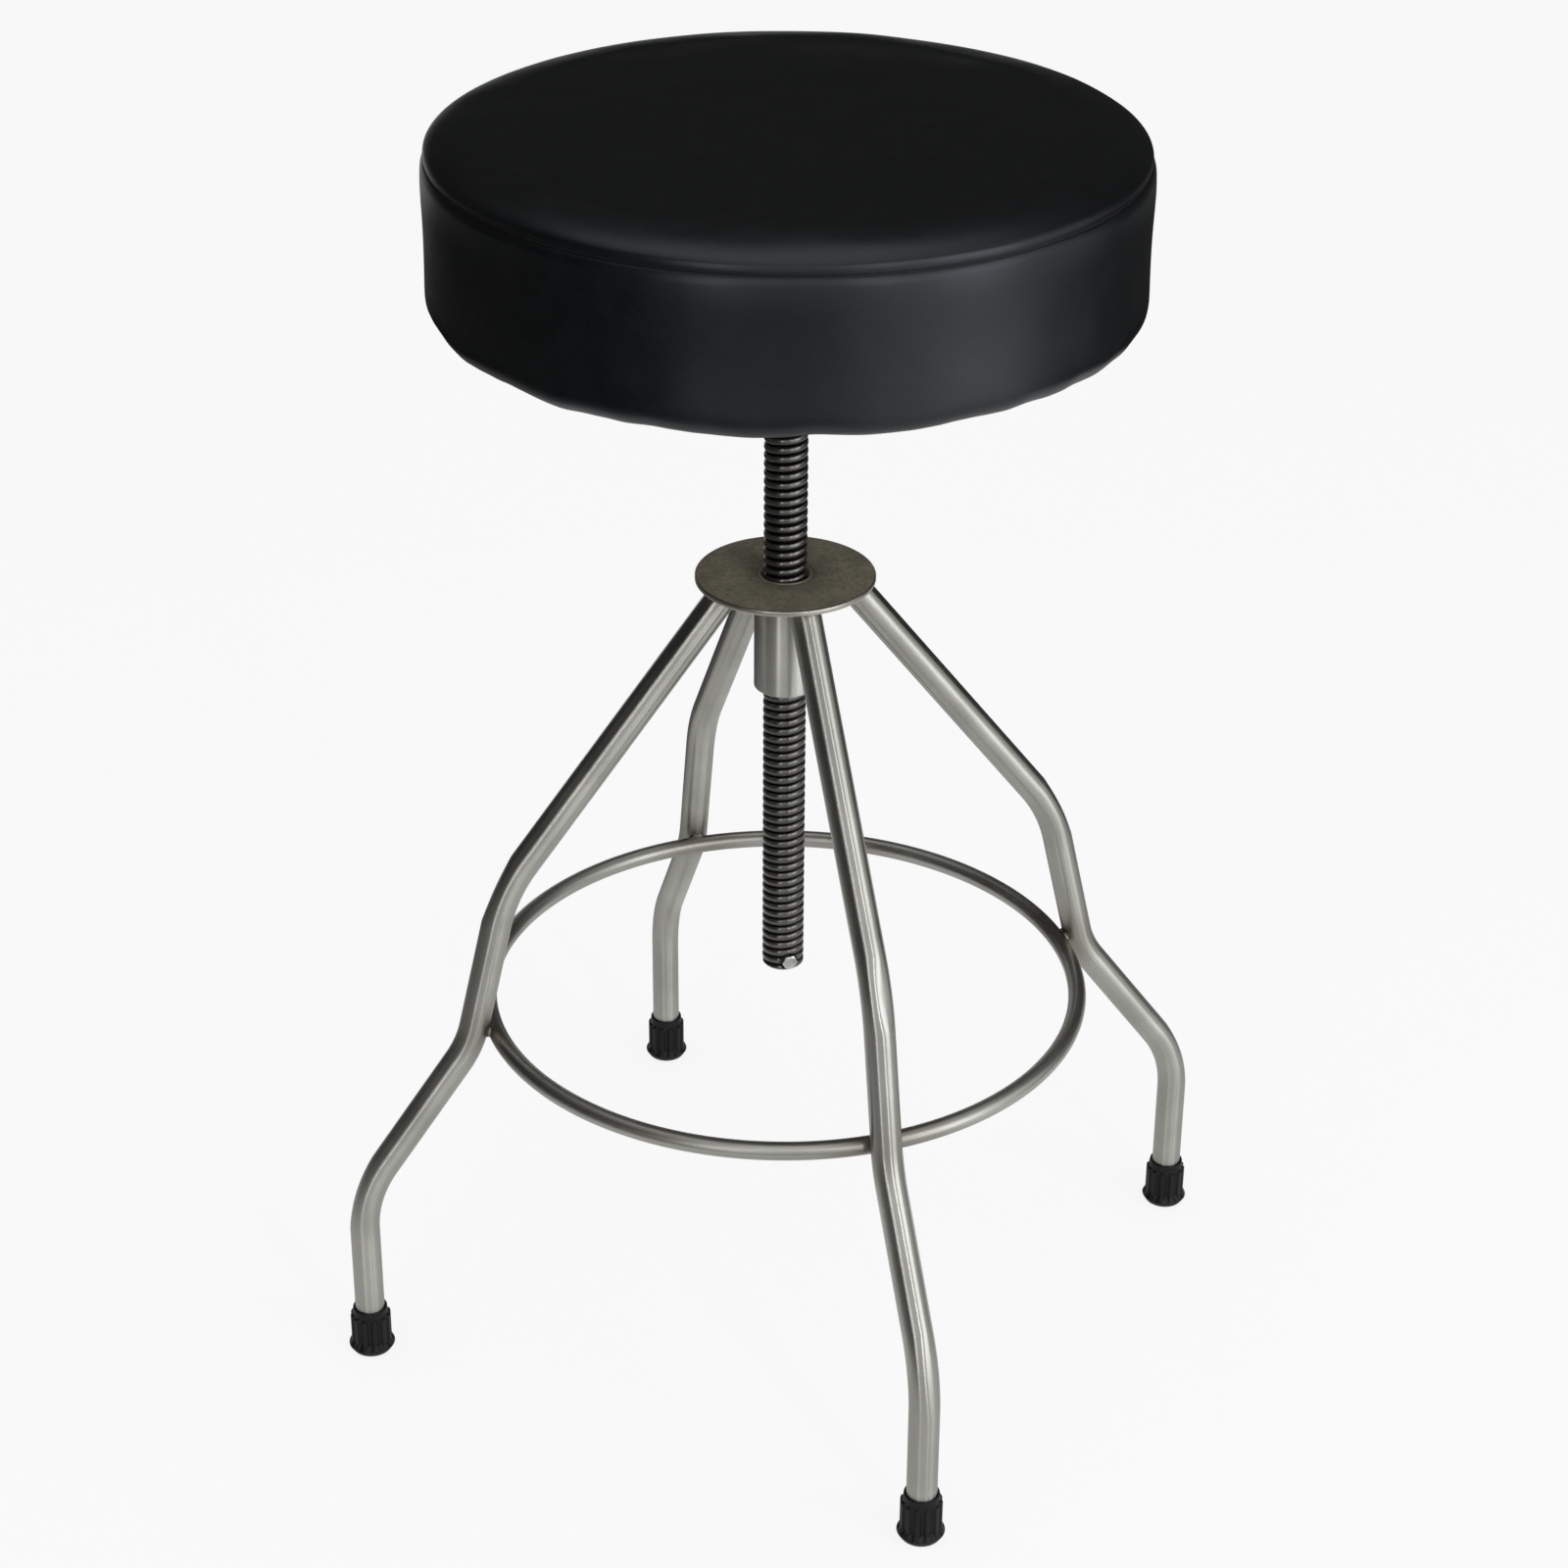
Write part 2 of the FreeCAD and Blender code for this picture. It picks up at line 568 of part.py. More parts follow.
def crown_points(inset):
    """Where the cushion's roll leaves the seam and meets the crown, and the crown's middle, moved inwards."""
    share = f"(crown_radius - ({inset})) / (crown_radius - shoulder_round)"
    lift = "(crown_radius - crown_rise) / (crown_radius - shoulder_round)"
    return [
        (f"seat_radius - ({inset})", "seam_height"),
        (f"roll_reach * {share}", f"seam_height + (shoulder_round - ({inset})) * {lift}"),
        ("0", f"crown_height - ({inset})"),
    ]


def band_points(inset):
    """The side band's outline from under the lower edge up to the seam, moved inwards by a formula."""
    return [
        ("edge_centre_reach", f"edge_centre_height - lower_edge_round + ({inset})"),
        (f"band_foot - ({inset})", "edge_centre_height"),
        (f"seat_radius - ({inset})", "seam_height"),
    ]


def make_seat_top_panel():
    """The round top of the cover: a crown with a rolled edge down to the seam."""
    body = new_body("seat_top_panel")
    outside = crown_points("0")
    inside = crown_points("vinyl_thickness")
    arcs = {
        0: ("shoulder_round", 1),
        1: ("crown_radius", 1),
        3: ("crown_radius - vinyl_thickness", -1),
        4: ("shoulder_round - vinyl_thickness", -1),
    }
    revolve(body, outside + inside[::-1], arcs)


def make_seat_side_band():
    """The side of the cover: sewn at the seam, hollow down the side, and rolled under on to the board."""
    body = new_body("seat_side_band")
    outside = band_points("0")
    inside = band_points("vinyl_thickness")
    arcs = {
        1: ("lower_edge_round", 1),
        2: ("band_hollow_radius", -1),
        4: ("band_hollow_radius + vinyl_thickness", 1),
        5: ("lower_edge_round - vinyl_thickness", -1),
    }
    fold = ("fold_inside", "board_height - vinyl_thickness")
    revolve(body, [fold] + outside + inside[::-1] + [("fold_inside", "board_height")], arcs)


def make_seat_foam():
    """The foam on the board, which laps over the board's edge and fills the cover."""
    body = new_body("seat_foam")
    inset = "vinyl_thickness + foam_gap"
    edge = band_points(inset)
    crown = crown_points(inset)
    rebate = "board_diameter / 2 + foam_gap"
    points = [("0", "board_top"), (rebate, "board_top"), (rebate, edge[0][1])] + edge + crown[1:]
    arcs = {
        3: (f"lower_edge_round - ({inset})", 1),
        4: (f"band_hollow_radius + ({inset})", -1),
        5: (f"shoulder_round - ({inset})", 1),
        6: (f"crown_radius - ({inset})", 1),
    }
    revolve(body, points, arcs)


def make_dust_cover():
    """The cloth under the board, from the flange out over the side band's fold."""
    body = new_body("dust_cover")
    top = "board_height - vinyl_thickness"
    sheet = new_sketch(body, "sheet", "XY_Plane", f"{top} - dust_cover_thickness")
    circle(sheet, "0", "0", "fold_inside + dust_cover_lap")
    circle(sheet, "0", "0", "flange_diameter / 2 + dust_cover_gap")
    pad(body, sheet, "dust_cover_thickness")


def check_and_write():
    """Stop at any failed object or bad shape, then write one file for each sub-part."""
    doc.recompute()
    for item in doc.Objects:
        if "Invalid" in item.State or "Error" in item.State:
            raise RuntimeError(f"{item.Label} failed: {item.State}")
    for piece in pieces:
        if piece.Shape.isNull() or not piece.Shape.isValid() or not piece.Shape.Solids:
            raise RuntimeError(f"{piece.Label} has no sound shape")
    os.makedirs("parts", exist_ok=True)
    for piece in pieces:
        piece.Shape.exportStep(f"parts/{piece.Label}.step")
        print(piece.Label, len(piece.Shape.Solids), round(piece.Shape.Volume, 1))


make_top_plate()
make_hub_nut()
for number, name in enumerate(LEG_NAMES):
    make_leg(name, number * QUARTER_TURN)
    make_foot_tip(name, number * QUARTER_TURN)
make_tip_washers()
make_foot_ring()
make_spindle()
make_stop_bolt()
make_spindle_collar()
make_seat_flange()
make_seat_bolts()
make_seat_washers()
make_tee_nuts()
make_seat_board()
make_seat_foam()
make_seat_top_panel()
make_seat_side_band()
make_dust_cover()
check_and_write()
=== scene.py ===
"""The looks of a height-adjustable clinic stool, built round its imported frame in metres."""

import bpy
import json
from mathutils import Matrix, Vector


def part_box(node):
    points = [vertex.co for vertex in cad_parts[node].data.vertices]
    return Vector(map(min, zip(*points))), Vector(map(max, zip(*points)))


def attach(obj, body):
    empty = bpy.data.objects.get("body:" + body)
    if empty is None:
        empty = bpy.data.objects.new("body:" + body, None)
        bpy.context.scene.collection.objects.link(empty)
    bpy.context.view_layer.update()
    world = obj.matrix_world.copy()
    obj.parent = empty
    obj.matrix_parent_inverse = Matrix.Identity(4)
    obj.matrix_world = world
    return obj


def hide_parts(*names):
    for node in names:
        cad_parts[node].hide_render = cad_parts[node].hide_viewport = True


bl_info = {
    "name": "Clinic Stool",
    "version": (1, 0, 0),
    "blender": (4, 5, 0),
    "location": "View3D > Sidebar > Stool",
    "description": "Dresses the frame of a screw-lift clinic stool and sets its studio",
    "category": "Object",
}

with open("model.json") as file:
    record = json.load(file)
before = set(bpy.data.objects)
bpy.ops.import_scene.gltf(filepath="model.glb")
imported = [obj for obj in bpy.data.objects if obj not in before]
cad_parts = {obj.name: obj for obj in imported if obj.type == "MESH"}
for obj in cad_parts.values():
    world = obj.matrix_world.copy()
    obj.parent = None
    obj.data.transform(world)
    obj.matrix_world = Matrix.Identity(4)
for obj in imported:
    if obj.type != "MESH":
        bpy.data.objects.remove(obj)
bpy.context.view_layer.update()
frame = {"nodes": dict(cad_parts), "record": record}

import json
import math
from collections import namedtuple

import bmesh
import bpy
from bpy.props import FloatProperty, FloatVectorProperty, IntProperty, PointerProperty
from mathutils import Matrix, Quaternion, Vector, noise

MM = 0.001
UP = Vector((0, 0, 1))
ORIGIN = Vector((0, 0, 0))
ON_SIDE = Matrix.Rotation(math.pi / 2, 4, "X")
# Degrees past which an edge shows as an edge
SHARP_ANGLE = 40
LEG_TURNS = {"right": 0, "back": 90, "left": 180, "front": 270}

# Heights and radii that the frame gives
SEAM_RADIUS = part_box("seat_side_band")[1].x
SEAM_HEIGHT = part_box("seat_side_band")[1].z
SEAT_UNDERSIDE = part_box("seat_side_band")[0].z
CROWN_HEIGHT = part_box("seat_top_panel")[1].z
BOARD_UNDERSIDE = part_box("seat_board")[0].z
BOARD_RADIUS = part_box("seat_board")[1].x
PLATE_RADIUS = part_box("top_plate")[1].x
PLATE_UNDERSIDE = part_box("top_plate")[0].z
PLATE_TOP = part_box("top_plate")[1].z
HUB_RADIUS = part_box("hub_nut")[1].x
HUB_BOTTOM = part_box("hub_nut")[0].z
SPINDLE_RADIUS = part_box("spindle")[1].x
SPINDLE_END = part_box("spindle")[0].z
COLLAR_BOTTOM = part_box("spindle_collar")[0].z
RING_ROD_RADIUS = (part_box("foot_ring")[1].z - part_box("foot_ring")[0].z) / 2
RING_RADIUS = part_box("foot_ring")[1].x - RING_ROD_RADIUS
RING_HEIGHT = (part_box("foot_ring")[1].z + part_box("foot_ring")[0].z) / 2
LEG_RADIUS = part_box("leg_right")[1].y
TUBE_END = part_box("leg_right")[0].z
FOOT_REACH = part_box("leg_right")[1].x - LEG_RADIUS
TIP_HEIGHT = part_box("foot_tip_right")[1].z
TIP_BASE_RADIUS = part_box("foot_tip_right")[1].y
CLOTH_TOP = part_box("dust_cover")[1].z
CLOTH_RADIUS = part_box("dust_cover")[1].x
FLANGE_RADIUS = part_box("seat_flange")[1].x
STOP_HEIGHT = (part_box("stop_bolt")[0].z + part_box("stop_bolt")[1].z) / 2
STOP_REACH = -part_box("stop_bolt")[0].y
THREAD_PITCH = math.tau * frame["record"]["behaviour"]["couplings"][0]["ratio"]

# Inner edge of the vinyl that is folded under the board
FOLD_EDGE = BOARD_RADIUS - 16 * MM

# The leg's centre line from the foot to the plate, as reach and height, and the bends at its inner corners
LEG_CORNERS = (
    (FOOT_REACH, TUBE_END),
    (FOOT_REACH, 100.27 * MM),
    (172.95 * MM, 184.75 * MM),
    (152.08 * MM, 273.7 * MM),
    (29.175 * MM, PLATE_UNDERSIDE),
)
LEG_BEND_RADII = (65 * MM, 55 * MM, 85 * MM)
# How much each bend is pressed flat on its outside, next to the most pressed one
LEG_BEND_PRESSES = (0.35, 1, 1)

# Where the ring's rod meets a leg, outwards and upwards from the rod's middle
CONTACT_OUT = 4.6 * MM
CONTACT_UP = 1.25 * MM
RING_CONTACT = Vector((RING_RADIUS + CONTACT_OUT, 0, RING_HEIGHT + CONTACT_UP))

# Tints that heat leaves on steel near a weld
WELD_BROWN = (0.20, 0.165, 0.125, 1)
BURNT_BROWN = (0.17, 0.135, 0.10, 1)


class SeatSizes(bpy.types.PropertyGroup):
    """Sizes of the cushion."""

    draw_in: FloatProperty(
        name="Draw in", description="How far the side is pulled in at its lower edge",
        default=1.2 * MM, unit="LENGTH", precision=4)
    lower_round: FloatProperty(
        name="Lower round", description="Roll of the side under the seat",
        default=10 * MM, unit="LENGTH", precision=4)
    fullness: FloatProperty(
        name="Fullness",
        description="How far out the top panel stays level before it rolls down to the seam",
        default=8.0, min=2)
    pressure: FloatProperty(
        name="Filling", description="Pressure of the foam on the cover",
        default=0.8)
    seam_depth: FloatProperty(
        name="Seam depth", description="How deep the seam sinks between its two rolls",
        default=0.45 * MM, unit="LENGTH", precision=4)
    pleats: FloatProperty(
        name="Pleats", description="Height of the gathers where the side is pulled under",
        default=2.2 * MM, unit="LENGTH", precision=4)


class MetalSizes(bpy.types.PropertyGroup):
    """Sizes of the metal pieces."""

    bend_flatness: FloatProperty(
        name="Bend flatness", description="Share of a bend's outside that is pressed to a flat",
        default=0.65, min=0, max=1, subtype="FACTOR")
    thread_depth: FloatProperty(
        name="Thread depth", description="Spindle's thread from crest to root",
        default=1.5 * MM, unit="LENGTH", precision=4)
    weld_size: FloatProperty(
        name="Weld size", description="Half the length of a weld between ring and leg",
        default=6.5 * MM, unit="LENGTH", precision=4)
    staple_count: IntProperty(
        name="Staples", description="Staples round the dust cloth", default=36, min=3)


class FinishColours(bpy.types.PropertyGroup):
    """Colours of the materials."""

    steel: FloatVectorProperty(
        name="Steel", description="Satin stainless steel of the legs", subtype="COLOR",
        default=(0.50, 0.495, 0.455), min=0, max=1)
    plate: FloatVectorProperty(
        name="Plate", description="Mill finish of the top plate", subtype="COLOR",
        default=(0.48, 0.435, 0.32), min=0, max=1)
    spindle: FloatVectorProperty(
        name="Spindle", description="Oiled dark steel on the thread's crests", subtype="COLOR",
        default=(0.19, 0.183, 0.172), min=0, max=1)
    vinyl: FloatVectorProperty(
        name="Vinyl", description="Cushion's cover", subtype="COLOR",
        default=(0.0024, 0.0025, 0.0028), min=0, max=1)
    rubber: FloatVectorProperty(
        name="Rubber", description="Foot tips", subtype="COLOR",
        default=(0.0042, 0.0043, 0.0045), min=0, max=1)


def arithmetic(operation):
    """An operator's two methods, which add a Math node: with the value first, and with it second."""

    def forward(value, other):
        return value.math(operation, value, other)

    def reflected(value, other):
        return value.math(operation, other, value)

    return forward, reflected


class Value:
    """A node's output, with arithmetic that adds Math nodes."""

    __add__, __radd__ = arithmetic("ADD")
    __sub__, __rsub__ = arithmetic("SUBTRACT")
    __mul__, __rmul__ = arithmetic("MULTIPLY")
    __truediv__, __rtruediv__ = arithmetic("DIVIDE")
    __pow__, __rpow__ = arithmetic("POWER")

    def __init__(self, nodes, socket):
        self.nodes = nodes
        self.socket = socket

    def math(self, operation, first, second=0.0):
        return self.nodes.node("ShaderNodeMath", {"operation": operation}, {0: first, 1: second})

    def __abs__(self):
        return self.math("ABSOLUTE", self)

    def least(self, other):
        return self.math("MINIMUM", self, other)

    def most(self, other):
        return self.math("MAXIMUM", self, other)

    def rise(self, start, end):
        """0 below start, 1 above end and smooth between, or the other way round where start is larger."""
        low, high = sorted((start, end))
        limits = {"Value": self, "From Min": low, "From Max": high}
        if start > end:
            limits.update({"To Min": 1.0, "To Max": 0.0})
        return self.nodes.node("ShaderNodeMapRange", {"interpolation_type": "SMOOTHSTEP"}, limits)


class Nodes:
    """A node tree that nodes are added to."""

    def __init__(self, tree):
        self.tree = tree

    def node(self, kind, settings, inputs, output=0):
        """Add a node: its settings first, then the values or links of its sockets."""
        node = self.tree.nodes.new(kind)
        for key, setting in settings.items():
            setattr(node, key, setting)
        for key, value in inputs.items():
            self.feed(node.inputs[key], value)
        return Value(self, node.outputs[output])

    def feed(self, socket, value):
        if isinstance(value, Value):
            self.tree.links.new(value.socket, socket)
        else:
            socket.default_value = value

    def by_ray(self, camera, mirrored, other):
        """A level for rays from the camera, one for mirrored or refracted rays, and one for all others."""
        rays = ("Is Camera Ray", "Is Glossy Ray", "Is Transmission Ray")
        seen, glossy, through = (self.node("ShaderNodeLightPath", {}, {}, ray) for ray in rays)
        return seen * (camera - other) + glossy.most(through) * (mirrored - other) + other


class Finish(Nodes):
    """One material: a Principled shader and the nodes that feed it."""

    def __init__(self, name):
        self.material = bpy.data.materials.new(name)
        self.material.use_nodes = True
        super().__init__(self.material.node_tree)
        self.shader = self.tree.nodes["Principled BSDF"]

    def surface(self, inputs):
        """Feed the shader's sockets, and give back the material."""
        for key, value in inputs.items():
            self.feed(self.shader.inputs[key], value)
        return self.material

    def place(self, scale=(1, 1, 1), source="Object"):
        """Coordinates on the piece in metres, or its UV map in metres, times a scale."""
        where = self.node("ShaderNodeTexCoord", {}, {}, source)
        return self.node("ShaderNodeMapping", {}, {"Vector": where, "Scale": scale})

    def axis(self, name):
        """One Object coordinate, X, Y or Z, as a value."""
        return self.node("ShaderNodeSeparateXYZ", {}, {0: self.place()}, name)

    def reach(self):
        """Distance from the stool's upright axis."""
        x = self.axis("X")
        y = self.axis("Y")
        return (x * x + y * y) ** 0.5

    def mottle(self, scale, detail=2.0, roughness=0.5, where=None):
        """Noise from 0 to 1."""
        inputs = {"Vector": where or self.place(), "Scale": scale, "Detail": detail, "Roughness": roughness}
        return self.node("ShaderNodeTexNoise", {}, inputs)

    def cells(self, scale, where=None):
        """Distance from the middle of each cell of a grain."""
        return self.node("ShaderNodeTexVoronoi", {}, {"Vector": where or self.place(), "Scale": scale})

    def blend(self, share, first, second):
        """A colour between two colours."""
        inputs = {0: share, 6: first, 7: second}
        return self.node("ShaderNodeMix", {"data_type": "RGBA"}, inputs, 2)

    def varied(self, share, colour, darker, lighter):
        """A colour property between a darker and a lighter share of itself."""
        return self.blend(share, shade(colour, darker), shade(colour, lighter))

    def bump(self, height, strength, distance):
        """A relief whose height goes from 0 to 1 over a distance."""
        inputs = {"Height": height, "Strength": strength, "Distance": distance}
        return self.node("ShaderNodeBump", {}, inputs)


def shade(colour, share=1.0):
    """A colour property as a socket's four numbers, made darker or lighter by a share."""
    return (*(channel * share for channel in colour), 1.0)


def weld_distance(finish):
    """Distance from the nearest of the four welds on the foot ring."""
    x, y, z = (finish.axis(name) for name in "XYZ")
    along = abs(x).most(abs(y)) - RING_CONTACT.x
    across = abs(x).least(abs(y))
    height = z - RING_CONTACT.z
    return (along * along + across * across + height * height) ** 0.5


def tube_steel_finish(colours):
    """Satin stainless tube: soft blotches, a few dark specks, and a brown tint at the welds."""
    finish = Finish("satin_tube_steel")
    fine = finish.mottle(1.0, where=finish.place((160, 200, 1), "UV"))
    cloud = finish.mottle(22.0, 4.0)
    speck = finish.mottle(420.0)
    tone = finish.varied(cloud.rise(0.3, 0.75), colours.steel, 0.86, 1.08)
    tone = finish.blend(speck.rise(0.62, 0.78) * 0.2, tone, shade(colours.steel, 0.55))
    heat = weld_distance(finish).rise(26 * MM, 7 * MM) * (cloud * 0.6 + 0.35)
    tone = finish.blend(heat * 0.7, tone, WELD_BROWN)
    return finish.surface({
        "Base Color": tone,
        "Metallic": 1.0,
        "Roughness": fine * 0.03 + cloud * 0.08 + 0.265,
        "Anisotropic": 0.97,
        "Anisotropic Rotation": 0.25,
    })


def rod_steel_finish(colours):
    """Drawn rod of the foot ring: streaks along the rod, darker and browner than the legs."""
    finish = Finish("drawn_rod_steel")
    streaks = finish.mottle(1.0, 4.0, 0.65, finish.place((700, 9, 1), "UV"))
    cloud = finish.mottle(18.0, 4.0)
    tone = finish.varied(streaks.rise(0.3, 0.7), colours.steel, 0.72, 1.05)
    tone = finish.blend(cloud.rise(0.45, 0.8) * 0.45, tone, WELD_BROWN)
    heat = weld_distance(finish).rise(40 * MM, 8 * MM) * (cloud * 0.7 + 0.3)
    tone = finish.blend(heat * 0.8, tone, BURNT_BROWN)
    return finish.surface({
        "Base Color": tone,
        "Metallic": 1.0,
        "Roughness": streaks * 0.12 + cloud * 0.08 + 0.28,
        "Normal": finish.bump(streaks, 0.1, 0.05 * MM),
    })


def turned_steel_finish(colours):
    """Turned hub: fine tool lines round the axis, and an end face as dull as the plate."""
    finish = Finish("turned_hub_steel")
    lines = finish.mottle(1.0, 3.0, 0.6, finish.place((60, 60, 4200)))
    cloud = finish.mottle(40.0, 4.0)
    face = finish.axis("Z").rise(PLATE_UNDERSIDE, PLATE_TOP - 1 * MM)
    tone = finish.varied(cloud.rise(0.3, 0.75), colours.steel, 0.98, 1.22)
    tone = finish.blend(face * 0.85, tone, shade(colours.plate, 0.8))
    return finish.surface({
        "Base Color": tone,
        "Metallic": 1 - face * 0.4,
        "Roughness": lines * 0.06 + cloud * 0.06 + 0.34 + face * 0.15,
        "Anisotropic": 0.95,
        "Anisotropic Rotation": 0.25,
        "Normal": finish.bump(lines, 0.2, 0.03 * MM),
    })


def plate_steel_finish(colours):
    """Mill finish of the plate: grainy, olive grey, smudged, with a brighter worn rim."""
    finish = Finish("mill_plate_steel")
    oil_stain = (0.055, 0.05, 0.042, 1)
    grain = finish.mottle(500.0, 4.0, 0.75)
    cloud = finish.mottle(55.0, 5.0, 0.6)
    radius = finish.reach()
    tone = finish.varied(cloud.rise(0.3, 0.7), colours.plate, 0.78, 1.1)
    tone = finish.blend(grain.rise(0.42, 0.66) * 0.75, tone, shade(colours.plate, 0.5))
    stained = radius.rise(24 * MM, 14 * MM) * cloud.rise(0.35, 0.6) * 0.5
    tone = finish.blend(stained, tone, oil_stain)
    rim = radius.rise(PLATE_RADIUS - 1.1 * MM, PLATE_RADIUS - 0.3 * MM)
    tone = finish.blend(rim * 0.6, tone, shade(colours.steel, 1.1))
    return finish.surface({
        "Base Color": tone,
        "Metallic": rim * 0.4 + 0.6,
        "Roughness": cloud * 0.14 + grain * 0.10 + 0.42 - rim * 0.2,
        "Normal": finish.bump(grain, 0.25, 0.05 * MM),
    })


def thread_flank_shade(finish):
    """Share of painted shade under each crest of the thread: the lower flank of each turn, from its root up
    towards the crest.
    """
    x, y, z = (finish.axis(name) for name in "XYZ")
    turn = x.math("ARCTAN2", y, x) / math.tau
    phase = x.math("FRACT", (z - SPINDLE_END) / THREAD_PITCH - turn)
    # Painted shade: 1 on the lower flank under each crest, fading out before the crest
    return phase.rise(0.5, 0.28) * 0.8


def spindle_finish(colours, name="oiled_dark_steel", threaded=True):
    """Dark steel: bare where it is worn, black with oil in the grooves, and on the screw with painted shade
    on the lower flank of each turn.
    """
    finish = Finish(name)
    # Black of the oil in the grooves, also used as painted shade on the lower flank of each thread turn
    grease_and_shade_black = (0.010, 0.0095, 0.009, 1)
    rust_brown = (0.075, 0.04, 0.026, 1)
    radius = finish.reach()
    grime = finish.mottle(260.0, 5.0, 0.65)
    lines = finish.mottle(1.0, 3.0, where=finish.place((500, 500, 2600)))
    # Painted shade on the lower flank of each thread turn, only on the screw
    flank_shade = thread_flank_shade(finish) if threaded else 0.0
    worn = radius.rise(SPINDLE_RADIUS - 1.15 * MM, SPINDLE_RADIUS - 0.1 * MM) * (grime * 0.7 + 0.45)
    # Bare colour on the worn crests, black in the grooves (oil) and on the lower flanks (painted shade)
    tone = finish.blend(worn * (1 - flank_shade), grease_and_shade_black, shade(colours.spindle))
    rubbed = radius.rise(SPINDLE_RADIUS - 0.9 * MM, SPINDLE_RADIUS - 0.3 * MM)
    tone = finish.blend(grime.rise(0.62, 0.8) * rubbed * 0.35, tone, rust_brown)
    return finish.surface({
        "Base Color": tone,
        "Metallic": 0.92,
        "Roughness": grime * 0.14 + lines * 0.06 + 0.15,
        "Coat Weight": worn * 0.1 + 0.12,
        "Coat Roughness": 0.22,
        "Normal": finish.bump(lines * 0.5 + grime * 0.5, 0.2, 0.06 * MM),
    })


def zinc_finish():
    """Bright zinc plate with faint yellow blotches and tool marks."""
    finish = Finish("bright_zinc")
    yellowed = (0.46, 0.455, 0.43, 1)
    bright = (0.62, 0.62, 0.60, 1)
    cloud = finish.mottle(240.0, 4.0)
    scratch = finish.mottle(1.0, where=finish.place((900, 900, 5200)))
    return finish.surface({
        "Base Color": finish.blend(cloud.rise(0.35, 0.7), yellowed, bright),
        "Metallic": 1.0,
        "Roughness": cloud * 0.16 + scratch * 0.1 + 0.2,
        "Normal": finish.bump(scratch, 0.2, 0.05 * MM),
    })


def black_paint_finish():
    """Black enamel with orange peel and a few rubbed spots."""
    finish = Finish("black_enamel")
    enamel = (0.012, 0.012, 0.012, 1)
    rubbed = (0.026, 0.025, 0.024, 1)
    peel = finish.mottle(900.0)
    cloud = finish.mottle(90.0, 5.0)
    return finish.surface({
        "Base Color": finish.blend(cloud.rise(0.4, 0.8), enamel, rubbed),
        "Roughness": cloud * 0.2 + 0.28,
        "Normal": finish.bump(peel, 0.25, 0.1 * MM),
    })


def vinyl_finish(colours):
    """Black vinyl: fine pebble grain, soft sheen that varies, and a dull line in the seam."""
    finish = Finish("black_vinyl_cover")
    cool_sheen = (0.86, 0.93, 1.0, 1)
    pebble = finish.cells(1250.0)
    pores = finish.mottle(2600.0)
    cloud = finish.mottle(70.0, 4.0)
    outer = finish.reach().rise(SEAM_RADIUS - 9 * MM, SEAM_RADIUS - 5 * MM)
    seam = abs(finish.axis("Z") - SEAM_HEIGHT).rise(0.8 * MM, 0.3 * MM) * outer
    tone = finish.varied(cloud.rise(0.3, 0.75), colours.vinyl, 0.8, 1.3)
    tone = finish.blend(seam * 0.7, tone, shade(colours.vinyl, 0.3))
    return finish.surface({
        "Base Color": tone,
        "Roughness": cloud * 0.06 + pebble * 0.05 + 0.29 + seam * 0.2,
        "Specular IOR Level": 0.48,
        "Specular Tint": cool_sheen,
        "Normal": finish.bump(pebble * 0.7 + pores * 0.3, 0.22, 0.10 * MM),
    })


def rubber_finish(colours):
    """Moulded black rubber: dull, and faintly dusty near the floor."""
    finish = Finish("moulded_black_rubber")
    floor_dust = (0.016, 0.0155, 0.015, 1)
    grain = finish.mottle(1800.0, 3.0)
    dust = finish.mottle(170.0, 5.0, 0.65)
    low = finish.axis("Z").rise(9 * MM, 0.0) * dust.rise(0.4, 0.7) * 0.3
    tone = finish.varied(dust.rise(0.35, 0.8), colours.rubber, 0.8, 1.5)
    return finish.surface({
        "Base Color": finish.blend(low, tone, floor_dust),
        "Roughness": dust * 0.14 + 0.42,
        "Specular IOR Level": 0.28,
        "Normal": finish.bump(grain * 0.6 + dust * 0.4, 0.25, 0.12 * MM),
    })


def dust_cloth_finish():
    """Black spunbonded cloth: random fibres and pressed dots."""
    finish = Finish("spunbond_dust_cloth")
    dark = (0.008, 0.008, 0.0085, 1)
    pale = (0.030, 0.030, 0.031, 1)
    fibre = finish.mottle(1.0, 4.0, 0.7, finish.place((1100, 240, 1)))
    cross = finish.mottle(1.0, 4.0, 0.7, finish.place((260, 1000, 1)))
    dots = finish.cells(520.0, finish.place((1, 1, 0)))
    return finish.surface({
        "Base Color": finish.blend(fibre * 0.5 + cross * 0.5, dark, pale),
        "Roughness": 0.9,
        "Specular IOR Level": 0.2,
        "Normal": finish.bump(fibre * 0.4 + cross * 0.4 + dots * 0.5, 0.4, 0.2 * MM),
    })


def plywood_finish():
    """Birch plywood: plies on the edge and grain on the face."""
    finish = Finish("birch_plywood")
    dark_grain = (0.42, 0.27, 0.15, 1)
    pale_grain = (0.62, 0.46, 0.29, 1)
    glue_line = (0.30, 0.18, 0.10, 1)
    grain = finish.mottle(1.0, 5.0, 0.6, finish.place((14, 190, 60)))
    plies = finish.mottle(1.0, 1.0, where=finish.place((6, 6, 620)))
    tone = finish.blend(grain, dark_grain, pale_grain)
    return finish.surface({
        "Base Color": finish.blend(plies.rise(0.5, 0.62) * 0.5, tone, glue_line),
        "Roughness": grain * 0.2 + 0.55,
        "Normal": finish.bump(grain, 0.2, 0.2 * MM),
    })


def outline_arc(centre, radius, start, end, count):
    """Points of an arc from one angle to another, in degrees."""
    points = []
    for step in range(count + 1):
        angle = math.radians(start + (end - start) * step / count)
        points.append((centre[0] + radius * math.cos(angle), centre[1] + radius * math.sin(angle)))
    return points


